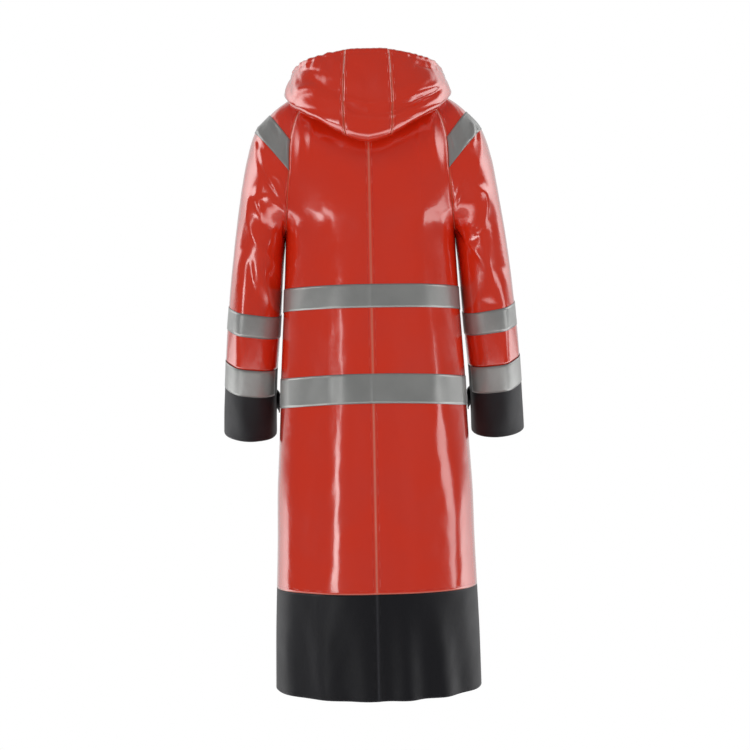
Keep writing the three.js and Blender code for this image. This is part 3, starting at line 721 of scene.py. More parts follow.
    def _share_directions(self) -> None:
        """Gives cloth on both sides of a seam one direction, and squares the centre lines."""
        under = self.underarm
        back, front, sleeve = self.back.normals, self.front.normals, self.sleeve.normals
        pairs = [
            (back[:under, -1], sleeve[:under, 0]),
            (front[:under, 0], sleeve[:under, -1]),
            (back[under:, -1], front[under:, 0]),
            (sleeve[under:, 0], sleeve[under:, -1]),
        ]
        for one, other in pairs:
            mean = unit(one + other)
            one[:] = mean
            other[:] = mean
        for centre in (back[:, 0], front[:, -1]):
            centre[:, 0] = 0
            centre[:] = unit(centre)
        down = np.array([0.0, 0.0, -1.0])
        for corner in (back[under, -1:], front[under, :1], sleeve[under, :1], sleeve[under, -1:]):
            corner[:] = down


# Shader nodes and finishes


class Socket:
    """A shader socket whose arithmetic adds Math nodes."""

    def __init__(self, works: "Nodes", socket: bpy.types.NodeSocket) -> None:
        """Wraps one output socket of a tree."""
        self.works = works
        self.socket = socket

    def _math(self, operation: str, first: "Socket | float", second: "Socket | float") -> "Socket":
        """A Math node on two values."""
        return self.works.node("Math", {"operation": operation}, {0: first, 1: second})

    def __add__(self, other: "Socket | float") -> "Socket":
        """This value plus another."""
        return self._math("ADD", self, other)

    __radd__ = __add__

    def __sub__(self, other: "Socket | float") -> "Socket":
        """This value less another."""
        return self._math("SUBTRACT", self, other)

    def __rsub__(self, other: float) -> "Socket":
        """Another value less this one."""
        return self._math("SUBTRACT", other, self)

    def __mul__(self, other: "Socket | float") -> "Socket":
        """This value times another."""
        return self._math("MULTIPLY", self, other)

    __rmul__ = __mul__

    def between(self, low: float, high: float) -> "Socket":
        """A share that rises smoothly from 0 at low to 1 at high."""
        settings = {"interpolation_type": "SMOOTHSTEP"}
        return self.works.node("MapRange", settings,
                               {"Value": self, "From Min": low, "From Max": high})


class Nodes:
    """A node tree while it is being built."""

    def __init__(self, tree: bpy.types.NodeTree) -> None:
        """Takes up the tree of a material or of the surround."""
        self.tree = tree

    def node(self, kind: str, settings: dict | None = None, inputs: dict | None = None,
             output: int | str = 0) -> Socket:
        """Adds a node.

        Args:
            kind: Its type, without the prefix that all shader nodes have.
            settings: Its properties, set first.
            inputs: Values or links for its sockets, by name or number.
            output: Which of its outputs is given back.

        Returns:
            That output.
        """
        made = self.tree.nodes.new(f"ShaderNode{kind}")
        for name, value in (settings or {}).items():
            setattr(made, name, value)
        for key, value in (inputs or {}).items():
            self.feed(made.inputs[key], value)
        return Socket(self, made.outputs[output])

    def feed(self, socket: bpy.types.NodeSocket, value: object) -> None:
        """Links a socket to another, or gives it a value of its own."""
        if isinstance(value, Socket):
            self.tree.links.new(value.socket, socket)
        else:
            socket.default_value = value

    def mix(self, factor: Socket | float, first: object, second: object) -> Socket:
        """A blend of two colours."""
        settings = {"data_type": "RGBA"}
        return self.node("Mix", settings, {0: factor, 6: first, 7: second}, 2)


class Shader(Nodes):
    """A material with a Principled shader."""

    def __init__(self, name: str) -> None:
        """Starts the material."""
        self.material = bpy.data.materials.new(name)
        self.material.use_nodes = True
        super().__init__(self.material.node_tree)
        self.surface = self.tree.nodes["Principled BSDF"]

    def set(self, **inputs: object) -> None:
        """Sets or links the Principled shader's sockets, with _ for a space in their names."""
        for name, value in inputs.items():
            self.feed(self.surface.inputs[name.replace("_", " ")], value)


def linear(red: int, green: int, blue: int) -> tuple[float, float, float, float]:
    """A screen colour, 0 to 255 each, as the linear colour that a shader takes."""
    parts = [value / 255 for value in (red, green, blue)]
    return (*[((p + 0.055) / 1.055) ** 2.4 if p > 0.04045 else p / 12.92 for p in parts], 1.0)


@dataclass(frozen=True)
class CoatedCloth:
    """A coated cloth: a colour under a smooth skin that shows a fine grain and soft dents.

    Its named edges are painted paler, a painted highlight of the rounded seams with some wear, and
    carry a line of stitches a little way in.
    """

    name: str
    slot: str
    colour: tuple[float, float, float, float]
    shade: tuple[float, float, float, float]
    roughness: float
    coat: float
    coat_roughness: float
    # Edge colour: painted highlight of the rounded seams and edges, with some wear
    edge_wear_and_sheen: tuple[float, float, float, float]
    wear_and_sheen_width: float = 0.004
    wear_and_sheen_share: float = 0.6
    shade_share: float = 0.22
    grain_per_metre: float = 900.0
    grain_height: float = 0.00005
    dent_per_metre: float = 90.0
    dent_height: float = 0.0003
    specular: float = 0.5
    stitch_from_edge: float = 0.0055
    stitch_width: float = 0.0022
    stitch_blur: float = 0.0008
    stitch_scale: float = 16.5
    stitch_share: float = 0.5
    stitch_height: float = 0.0004

    def material(self) -> bpy.types.Material:
        """Builds the material on the cloth's own map, which is in metres."""
        shader = Shader(self.name)
        place = shader.node("UVMap", {"uv_map": "cloth"})
        grain = shader.node("TexNoise", {}, {"Vector": place, "Scale": self.grain_per_metre,
                                             "Detail": 2.0, "Roughness": 0.6})
        dents = shader.node("TexNoise", {}, {"Vector": place, "Scale": self.dent_per_metre,
                                             "Detail": 3.0, "Roughness": 0.45})
        wear = shader.node("TexNoise", {}, {"Vector": place, "Scale": 9.0, "Detail": 4.0})
        edge = shader.node("Attribute", {"attribute_name": "edge"}, output="Fac")
        # Band along the named edges that is painted paler: painted highlight of rounded seams, with
        # some wear
        near_edge = 1.0 - edge.between(0.0, self.wear_and_sheen_width)
        start, end = self.stitch_from_edge, self.stitch_from_edge + self.stitch_width
        line = edge.between(start, start + self.stitch_blur) * (
            1.0 - edge.between(end - self.stitch_blur, end))
        dash = shader.node("TexWave", {"bands_direction": "DIAGONAL"},
                           {"Vector": place, "Scale": self.stitch_scale})
        stitch = line * dash.between(0.3, 0.5)
        tint = wear.between(0.25, 0.8) * self.shade_share + stitch * self.stitch_share
        cloth = shader.mix(tint, self.colour, self.shade)
        rough = self.roughness + 0.1 * (wear.between(0.3, 0.7) - 0.5) + 0.06 * (grain - 0.5)
        low = shader.node("Bump", {}, {"Height": dents, "Distance": self.dent_height})
        sewn = shader.node("Bump", {}, {"Height": stitch - line, "Normal": low,
                                        "Distance": self.stitch_height})
        fine = shader.node("Bump", {}, {"Height": grain, "Distance": self.grain_height,
                                        "Normal": sewn})
        shader.set(Base_Color=shader.mix(near_edge * self.wear_and_sheen_share, cloth, self.edge_wear_and_sheen),
                   Roughness=rough, Normal=fine, Coat_Weight=self.coat,
                   Coat_Roughness=self.coat_roughness, Specular_IOR_Level=self.specular)
        return shader.material


@dataclass(frozen=True)
class ReflectiveTape:
    """Retroreflective tape: a grey film of tiny glass beads."""

    name: str
    slot: str
    colour: tuple[float, float, float, float]
    shade: tuple[float, float, float, float]
    roughness: float
    metallic: float
    beads_per_metre: float = 1400.0
    diamond: float = 0.004

    def material(self) -> bpy.types.Material:
        """Builds the material on the tape's own map."""
        shader = Shader(self.name)
        place = shader.node("UVMap", {"uv_map": "cloth"})
        beads = shader.node("TexVoronoi", {}, {"Vector": place, "Scale": self.beads_per_metre})
        wrinkles = shader.node("TexNoise", {}, {"Vector": place, "Scale": 70.0, "Detail": 4.0})
        wear = shader.node("TexNoise", {}, {"Vector": place, "Scale": 14.0, "Detail": 4.0})
        edge = shader.node("Attribute", {"attribute_name": "edge"}, output="Fac")
        near_edge = 1.0 - edge.between(0.0, 0.003)
        tint = wear.between(0.3, 0.75) * 0.3 + near_edge * 0.5 + beads * 0.25
        rough = self.roughness + 0.08 * (wrinkles - 0.5)
        low = shader.node("Bump", {}, {"Height": wrinkles, "Distance": 0.0004})
        fine = shader.node("Bump", {}, {"Height": beads, "Distance": 0.00006, "Normal": low})
        shader.set(Base_Color=shader.mix(tint, self.colour, self.shade), Roughness=rough,
                   Metallic=self.metallic, Normal=fine)
        return shader.material


@dataclass(frozen=True)
class StudMetal:
    """Lacquered metal of a press stud's cap."""

    name: str
    slot: str
    colour: tuple[float, float, float, float]
    roughness: float

    def material(self) -> bpy.types.Material:
        """Builds the material, lightly brushed and rubbed."""
        shader = Shader(self.name)
        place = shader.node("TexCoord", output="Object")
        rub = shader.node("TexNoise", {}, {"Vector": place, "Scale": 700.0, "Detail": 3.0})
        low = shader.node("Bump", {}, {"Height": rub, "Distance": 0.00004})
        dark = tuple(0.6 * part for part in self.colour[:3]) + (1.0,)
        shader.set(Base_Color=shader.mix(rub * 0.5, self.colour, dark), Metallic=0.9,
                   Roughness=self.roughness + 0.2 * (rub - 0.5), Normal=low)
        return shader.material


# Each cloth's last colour is its pale edge colour: painted highlight of rounded seams, with some
# wear
RED = CoatedCloth("red_coated_cloth", "red_coated_cloth", linear(236, 52, 20),
                  linear(206, 34, 14), 0.2, 1.0, 0.1, linear(244, 138, 112), specular=0.9)
BLACK = CoatedCloth("black_coated_cloth", "black_coated_cloth", linear(27, 27, 32),
                    linear(18, 18, 20), 0.55, 0.1, 0.3, linear(62, 62, 68), specular=0.35)
GREY = ReflectiveTape("reflective_tape", "reflective_tape", linear(180, 181, 179),
                      linear(144, 145, 144), 0.36, 0.45)
METAL = StudMetal("stud_metal", "stud_metal", linear(160, 162, 166), 0.3)


@dataclass
class Workshop:
    """Turns grids into pieces, dresses them and tells the frame about them."""

    materials: dict[str, bpy.types.Material] = field(default_factory=dict)

    def material(self, finish: CoatedCloth | ReflectiveTape | StudMetal) -> bpy.types.Material:
        """The finish's material, built once."""
        if finish.name not in self.materials:
            self.materials[finish.name] = finish.material()
        return self.materials[finish.name]

    def sheet(self, name: str, grid: Grid, wall: float, finish: CoatedCloth | ReflectiveTape,
              edges: Sequence[str], replaces: Sequence[str], held: str,
              rests_on: Sequence[str] = ()) -> None:
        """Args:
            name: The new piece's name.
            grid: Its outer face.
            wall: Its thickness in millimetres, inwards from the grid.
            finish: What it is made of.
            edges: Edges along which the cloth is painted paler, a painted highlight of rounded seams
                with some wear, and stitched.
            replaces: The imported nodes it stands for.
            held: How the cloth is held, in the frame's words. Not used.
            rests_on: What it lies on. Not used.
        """
        piece = self._grid_object(name, grid, edges)
        solidify = piece.modifiers.new("wall", "SOLIDIFY")
        solidify.thickness = wall * MM
        solidify.offset = -1.0
        solidify.use_quality_normals = True
        self._dress(piece, finish, replaces)

    def solid(self, name: str, mesh: bmesh.types.BMesh, finish: StudMetal,
              replaces: Sequence[str]) -> None:
        """Makes a closed mesh into a piece that isn't cloth.

        Args:
            name: The new piece's name.
            mesh: Its shape, in metres, in place. It is freed.
            finish: What it is made of.
            replaces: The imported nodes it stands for.
        """
        data = bpy.data.meshes.new(name)
        mesh.to_mesh(data)
        mesh.free()
        data.polygons.foreach_set("use_smooth", [True] * len(data.polygons))
        piece = bpy.data.objects.new(name, data)
        bpy.context.collection.objects.link(piece)
        self._dress(piece, finish, replaces)
        LOG.info("%s: %d faces", name, len(data.polygons))

    def _dress(self, piece: bpy.types.Object, finish: CoatedCloth | ReflectiveTape | StudMetal,
               replaces: Sequence[str]) -> None:
        """Gives a piece its material and its place in the frame."""
        piece.data.materials.append(self.material(finish))
        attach(piece, "root")
        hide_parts(*replaces)

    def _grid_object(self, name: str, grid: Grid, edges: Sequence[str]) -> bpy.types.Object:
        """A grid mesh whose vertices are moved to the cloth's points, with a map in metres."""
        rows, columns = grid.points.shape[:2]
        mesh = bmesh.new()
        bmesh.ops.create_grid(mesh, x_segments=columns - 1, y_segments=rows - 1, size=0.5)
        data = bpy.data.meshes.new(name)
        mesh.to_mesh(data)
        mesh.free()
        flat = np.zeros(len(data.vertices) * 3, np.float32)
        data.vertices.foreach_get("co", flat)
        flat = flat.reshape(-1, 3)
        column = np.rint((flat[:, 0] + 0.5) * (columns - 1)).astype(int)
        row = np.rint((flat[:, 1] + 0.5) * (rows - 1)).astype(int)
        points = (grid.points * MM).astype(np.float32)
        data.vertices.foreach_set("co", points[row, column].ravel())
        data.update()
        self._face_outwards(data, grid.normals[row, column])
        self._map(data, grid, row, column)
        edge = data.attributes.new("edge", "FLOAT", "POINT")
        distance = (grid.edge_distance(edges) * MM).astype(np.float32)
        edge.data.foreach_set("value", distance[row, column])
        data.polygons.foreach_set("use_smooth", [True] * len(data.polygons))
        piece = bpy.data.objects.new(name, data)
        bpy.context.collection.objects.link(piece)
        return piece

    def _face_outwards(self, data: bpy.types.Mesh, normals: np.ndarray) -> None:
        """Turns a mesh's faces to the side that its cloth's directions point to."""
        found = np.zeros(len(data.vertices) * 3, np.float32)
        data.vertex_normals.foreach_get("vector", found)
        if np.sum(found.reshape(-1, 3) * normals) < 0:
            data.flip_normals()

    def _map(self, data: bpy.types.Mesh, grid: Grid, row: np.ndarray, column: np.ndarray) -> None:
        """Gives a mesh its cloth map: metres along its rows and down its columns."""
        u, v = grid.arcs()
        flat = np.stack([u[row, column], v[row, column]], -1) * MM
        corners = np.zeros(len(data.loops), np.int32)
        data.loops.foreach_get("vertex_index", corners)
        layer = data.uv_layers.new(name="cloth")
        layer.data.foreach_set("uv", flat[corners].astype(np.float32).ravel())


# Body


def groove(distance: np.ndarray, depth: float = 0.7, ridge: float = 0.5) -> np.ndarray:
    """A seam's low line and the small ridge of turned cloth beside it, by distance from it."""
    return (-depth * np.exp(-((distance / 2.2) ** 2))
            + ridge * np.exp(-(((distance - 5.5) / 3.0) ** 2)))


@dataclass
class Body:
    """Back and front panels with their hem bands, the vent and the seams on them."""

    form: CoatForm
    shop: Workshop
    sway: float = 0.8
    crumple: float = 0.2
    strip_half: float = 5.0
    strip_height: float = 1.4
    hem_waves: float = 5.0
    hem_wave_lengths: tuple[float, float] = (52, 900)
    backs: dict[Side, Grid] = field(default_factory=dict)
    fronts: dict[Side, Grid] = field(default_factory=dict)

    def build(self) -> None:
        """Raises the folds, then cuts and dresses every panel."""
        for side in Side:
            self.backs[side] = self._raised_back(side)
            self.fronts[side] = self._raised_front(side)
            self._panels(side)
        self._vent_underlap()

    def _raised_back(self, side: Side) -> Grid:
        """One half of the back with its large folds, small creases and seam lines."""
        grid = self.form.back.on(side)
        x, z = grid.points[..., 0], grid.points[..., 2]
        seam = np.abs(x[:, -1:])
        ease = smooth((seam - np.abs(x)) / SEAM_EASE)
        near = smooth((seam - np.abs(x)) / 10)
        small = heights(BACK_CREASES, x, z)
        calm = 0.45 + 0.55 * smooth((-150 - z) / 150)
        uneven = calm * (self.sway * ripple(x, z, 11, (110, 420))
                         + self.crumple * ripple(x, z, 12, (34, 90), 9))
        u, _ = grid.arcs()
        strip = self.strip_height * smooth((self.strip_half - np.abs(x)) / 3.6)
        seam_line = groove(u[:, -1:] - u) + strip
        low = smooth((HEM_WAVES_FROM - z) / 160)
        waves = self.hem_waves * low * ripple(x, z, 13, self.hem_wave_lengths)
        return grid.raised(ease * (heights(BACK_FOLDS, x, z) + uneven + waves)
                           + near * small + seam_line)

    def _raised_front(self, side: Side) -> Grid:
        """One half of the front, plainly finished, with a gentle unevenness."""
        grid = self.form.front.on(side)
        x, z = grid.points[..., 0], grid.points[..., 2]
        seam = np.abs(x[:, :1])
        ease = smooth((seam - np.abs(x)) / SEAM_EASE) * smooth((np.abs(x) - 20) / 30)
        uneven = (self.sway * ripple(x, z, 21, (120, 420))
                  + self.crumple * ripple(x, z, 22, (40, 100), 9))
        u, _ = grid.arcs()
        return grid.raised(ease * uneven + groove(u))

    def _panels(self, side: Side) -> None:
        """The four panels of one side: back, front and their black hem bands."""
        band, hem = self.form.body_row(HEM_BAND_TOP), self.form.body_row(TORSO.last)
        gap = SEAM_GAP / 2
        for face, grid in (("back", self.backs[side]), ("front", self.fronts[side])):
            panel = grid.cut((0, band)).drawn_in(gap, "first", "last", "bottom")
            self.shop.sheet(f"cloth_{face}_{side.word}", panel, CLOTH, RED,
                            ("first", "last", "bottom"), [f"{face}_{side.word}"], "hung")
            lower = grid.cut((band, hem)).drawn_in(gap, "first", "last", "top")
            self.shop.sheet(f"cloth_hem_band_{face}_{side.word}", lower, CLOTH, BLACK,
                            ("first", "last", "bottom"), [f"hem_band_{face}_{side.word}"],
                            "hung")

    def _vent_underlap(self) -> None:
        """The left back goes on behind the right one, below the top of the vent."""
        rows = (self.form.body_row(VENT_TOP), self.form.body_row(TORSO.last))
        edge = self.backs[Side.RIGHT].cut(rows, (0, 1))
        step = unit(edge.points[:, 1] - edge.points[:, 0])
        shares = np.linspace(0, 1, 9)
        points = edge.points[:, :1] + VENT_LAP * shares[None, :, None] * step[:, None, :]
        normals = np.repeat(edge.normals[:, :1], len(shares), 1)
        behind = Grid(points, normals).drawn_in(SEAM_GAP / 2, "first")
        behind = behind.raised(-CLOTH - 2 * LAY_GAP - self.strip_height)
        self.shop.sheet("cloth_vent_underlap", behind, CLOTH, RED, ("last",),
                        ["vent_underlap"], "hung")


# Sleeves


@dataclass
class Sleeves:
    """The two sleeves with their black cuffs and cuff tabs."""

    form: CoatForm
    shop: Workshop
    tab_wall: float = 2.4
    tab_stand: float = 5.0
    sway: float = 0.5
    crumple: float = 0.1
    grids: dict[Side, Grid] = field(default_factory=dict)

    def build(self) -> None:
        """Raises each sleeve's folds, then cuts and dresses its pieces."""
        for side in Side:
            self.grids[side] = self._raised(side)
            self._panels(side)
            self._tab(side)

    def _raised(self, side: Side) -> Grid:
        """One sleeve with its folds, eased out at its seam."""
        grid = self.form.sleeve.on(side)
        shares = np.broadcast_to(self.form.sleeve_shares, grid.points.shape[:2])
        around, z = 360 * DEGREE * shares, grid.points[..., 2]
        ease = smooth(8 * shares) * smooth(8 * (1 - shares))
        uneven = (self.sway * ripple(around, z, 31 + side.value, (90, 160))
                  + self.crumple * ripple(around, z, 41 + side.value, (30, 60), 9))
        u, _ = grid.arcs()
        edge = np.minimum(u, u[:, -1:] - u)
        near = smooth(28 * shares) * smooth(28 * (1 - shares))
        return grid.raised(ease * (heights(SLEEVE_FOLDS[side], around, z) + uneven)
                           + near * heights(SLEEVE_CREASES[side], around, z) + groove(edge))

    def _panels(self, side: Side) -> None:
        """The red sleeve and the black cuff below it."""
        top, end = self.form.arm_row(CUFF_TOP), self.form.arm_row(ARM.last)
        grid, gap = self.grids[side], SEAM_GAP / 2
        sleeve = grid.cut((0, top)).drawn_in(gap, "first", "last", "bottom")
        self.shop.sheet(f"cloth_sleeve_{side.word}", sleeve, CLOTH, RED, ("first", "last"),
                        [f"sleeve_{side.word}"], "hung")
        cuff = grid.cut((top, end)).drawn_in(gap, "first", "last", "top")
        self.shop.sheet(f"cloth_cuff_{side.word}", cuff, CLOTH, BLACK,
                        ("first", "last", "bottom"), [f"cuff_{side.word}"], "hung")

    def _tab(self, side: Side) -> None:
        """A strap end that stands off the inner side of the cuff."""
        first, last = self.form.arm_row(LOWER_SLEEVE_TAPE[1]), self.form.arm_row(7)
        columns = self.form.sleeve_shares.size - 1
        start = int(np.searchsorted(self.form.sleeve_shares, 15 / 18))
        strap = self.grids[side].cut((first + 1, last), (start, columns))
        lift = np.linspace(0, self.tab_stand, strap.points.shape[1])
        outer = strap.raised(LAY_GAP + self.tab_wall + lift[None, :])
        self.shop.sheet(f"cloth_cuff_tab_{side.word}", outer, self.tab_wall, BLACK,
                        ("first", "last", "top", "bottom"), [f"cuff_tab_{side.word}"], "laid",
                        [f"cloth_cuff_{side.word}"])


# Tapes


@dataclass
class Tapes:
    """Reflective tapes, laid on the cloth that carries them."""

    form: CoatForm
    body: Body
    sleeves: Sleeves
    shop: Workshop
    flap_clearance: float = 1.0

    @property
    def out(self) -> float:
        """How far a tape's outer face stands out of the cloth."""
        return LAY_GAP + TAPE

    def build(self) -> None:
        """Lays the waist, sleeve and shoulder tapes."""
        self._waist("upper", UPPER_WAIST_TAPE)
        self._waist("lower", LOWER_WAIST_TAPE)
        for side in Side:
            self._sleeve(side)

    def _lay(self, name: str, grid: Grid, edges: tuple[str, ...], on: Sequence[str]) -> None:
        """One tape from the displaced points of the cloth below it."""
        self.shop.sheet(f"laid_{name}", grid.raised(self.out), TAPE, GREY, edges, [name],
                        "laid", on)

    def _waist(self, word: str, rows: tuple[int, int]) -> None:
        """A tape round the body, from one edge of the storm flap to the other."""
        span = (self.form.body_row(rows[0]), self.form.body_row(rows[1]))
        halves = {side: self.body.backs[side].cut(span).beside(
            self.body.fronts[side].cut(span, (0, self.form.flap_column))) for side in Side}
        whole = halves[Side.RIGHT].turned().beside(halves[Side.LEFT])
        whole = whole.drawn_in(self.flap_clearance, "first", "last")
        carriers = [f"cloth_{face}_{side.word}" for face in ("back", "front") for side in Side]
        self._lay(f"waist_tape_{word}", whole, ("top", "bottom"), carriers)

    def _sleeve(self, side: Side) -> None:
        """The two tapes round a sleeve and the one over its shoulder."""
        grid, form = self.sleeves.grids[side], self.form
        carrier = [f"cloth_sleeve_{side.word}"]
        upper = grid.cut((form.arm_row(UPPER_SLEEVE_TAPE[0]), form.arm_row(UPPER_SLEEVE_TAPE[1])))
        self._lay(f"sleeve_tape_upper_{side.word}", upper.drawn_in(SEAM_GAP / 2, "first", "last"),
                  ("top", "bottom"), carrier)
        ends = (int(np.searchsorted(form.sleeve_shares, 1 / 18)),
                int(np.searchsorted(form.sleeve_shares, 17 / 18)))
        lower = grid.cut((form.arm_row(LOWER_SLEEVE_TAPE[0]), form.arm_row(LOWER_SLEEVE_TAPE[1])),
                         ends)
        self._lay(f"sleeve_tape_lower_{side.word}", lower.drawn_in(SEAM_GAP / 2, "top"),
                  ("top", "bottom"), [f"cloth_cuff_{side.word}"])
        rows = (form.shoulder.index(SHOULDER_TAPE[0]), form.shoulder.index(SHOULDER_TAPE[1]))
        shoulder = grid.cut(rows).drawn_in(SEAM_GAP, "first", "last")
        self._lay(f"shoulder_tape_{side.word}", shoulder, ("top", "bottom"), carrier)


# Closing


@dataclass
class Closing:
    """The storm flap over the front opening, with its tape pieces and press studs."""

    form: CoatForm
    body: Body
    shop: Workshop
    top_trim: float = 2.0
    stud_radius: float = 7.5
    stud_height: float = 2.4
    stud_heights: tuple[float, ...] = (-85, -205, -325, -500, -695, -815, -935)

    @property
    def flap_out(self) -> float:
        """How far the flap's outer face stands out of the front."""
        return LAY_GAP + DOUBLE_CLOTH

    def build(self) -> None:
        """Lays the flap, its tapes and its studs."""
        flap = self._flap_grid()
        outer = flap.raised(self.flap_out)
        fronts = [f"cloth_front_{side.word}" for side in Side]
        self.shop.sheet("cloth_storm_flap", outer.drawn_in(self.top_trim, "top"), DOUBLE_CLOTH,
                        RED, ("first", "last", "bottom"), ["storm_flap"], "laid", fronts)
        for word, rows in (("upper", UPPER_WAIST_TAPE), ("lower", LOWER_WAIST_TAPE)):
            span = (self.form.body_row(rows[0]), self.form.body_row(rows[1]))
            tape = flap.cut(span).raised(self.flap_out + LAY_GAP + TAPE)
            self.shop.sheet(f"laid_flap_tape_{word}", tape, TAPE, GREY, ("top", "bottom"),
                            [f"flap_tape_{word}"], "laid", ["cloth_storm_flap"])
        for number, height in enumerate(self.stud_heights, 1):
            self._stud(number, height, outer)

    def _flap_grid(self) -> Grid:
        """The flap's place on the front, from the wearer's right to the left."""
        rows = (0, self.form.body_row(HEM_BAND_TOP))
        first = self.form.flap_column
        last = self.form.front.points.shape[1] - 1
        right = self.body.fronts[Side.RIGHT].cut(rows, (first, last))
        left = self.body.fronts[Side.LEFT].cut(rows, (first, last)).turned()
        return right.beside(left)

    def _stud(self, number: int, height: float, flap: Grid) -> None:
        """A press stud's cap: a rolled rim round a shallow dish with a raised middle."""
        middle = flap.points.shape[1] // 2
        line = flap.points[:, middle]
        row = int(np.argmin(np.abs(line[:, 2] - height)))
        r, h = self.stud_radius, self.stud_height
        outline = ((0, 0.78 * h), (0.32 * r, 0.76 * h), (0.5 * r, 0.6 * h), (0.68 * r, 0.62 * h),
                   (0.8 * r, 0.9 * h), (0.88 * r, h), (0.96 * r, 0.9 * h), (r, 0.62 * h),
                   (r, 0.2 * h), (0.97 * r, 0))
        mesh = bmesh.new()
        verts = [mesh.verts.new((x * MM, 0, y * MM)) for x, y in outline]
        edges = [mesh.edges.new(pair) for pair in zip(verts, verts[1:])]
        bmesh.ops.spin(mesh, geom=[*verts, *edges], axis=(0, 0, 1), cent=(0, 0, 0),
                       angle=2 * math.pi, steps=36, use_merge=True)
        bmesh.ops.remove_doubles(mesh, verts=mesh.verts, dist=1e-6)
        rim = [edge for edge in mesh.edges if edge.is_boundary]
        bmesh.ops.holes_fill(mesh, edges=rim, sides=0)
        bmesh.ops.recalc_face_normals(mesh, faces=mesh.faces)
        facing = Vector(flap.normals[row, middle])
        place = Vector((flap.points[row, middle] + LAY_GAP * flap.normals[row, middle]) * MM)
        turn = Vector((0, 0, 1)).rotation_difference(facing).to_matrix().to_4x4()
        bmesh.ops.transform(mesh, matrix=Matrix.Translation(place) @ turn, verts=mesh.verts)
        self.shop.solid(f"stud_cap_{number}", mesh, METAL, [f"press_stud_{number}"])


# Neck band and hood


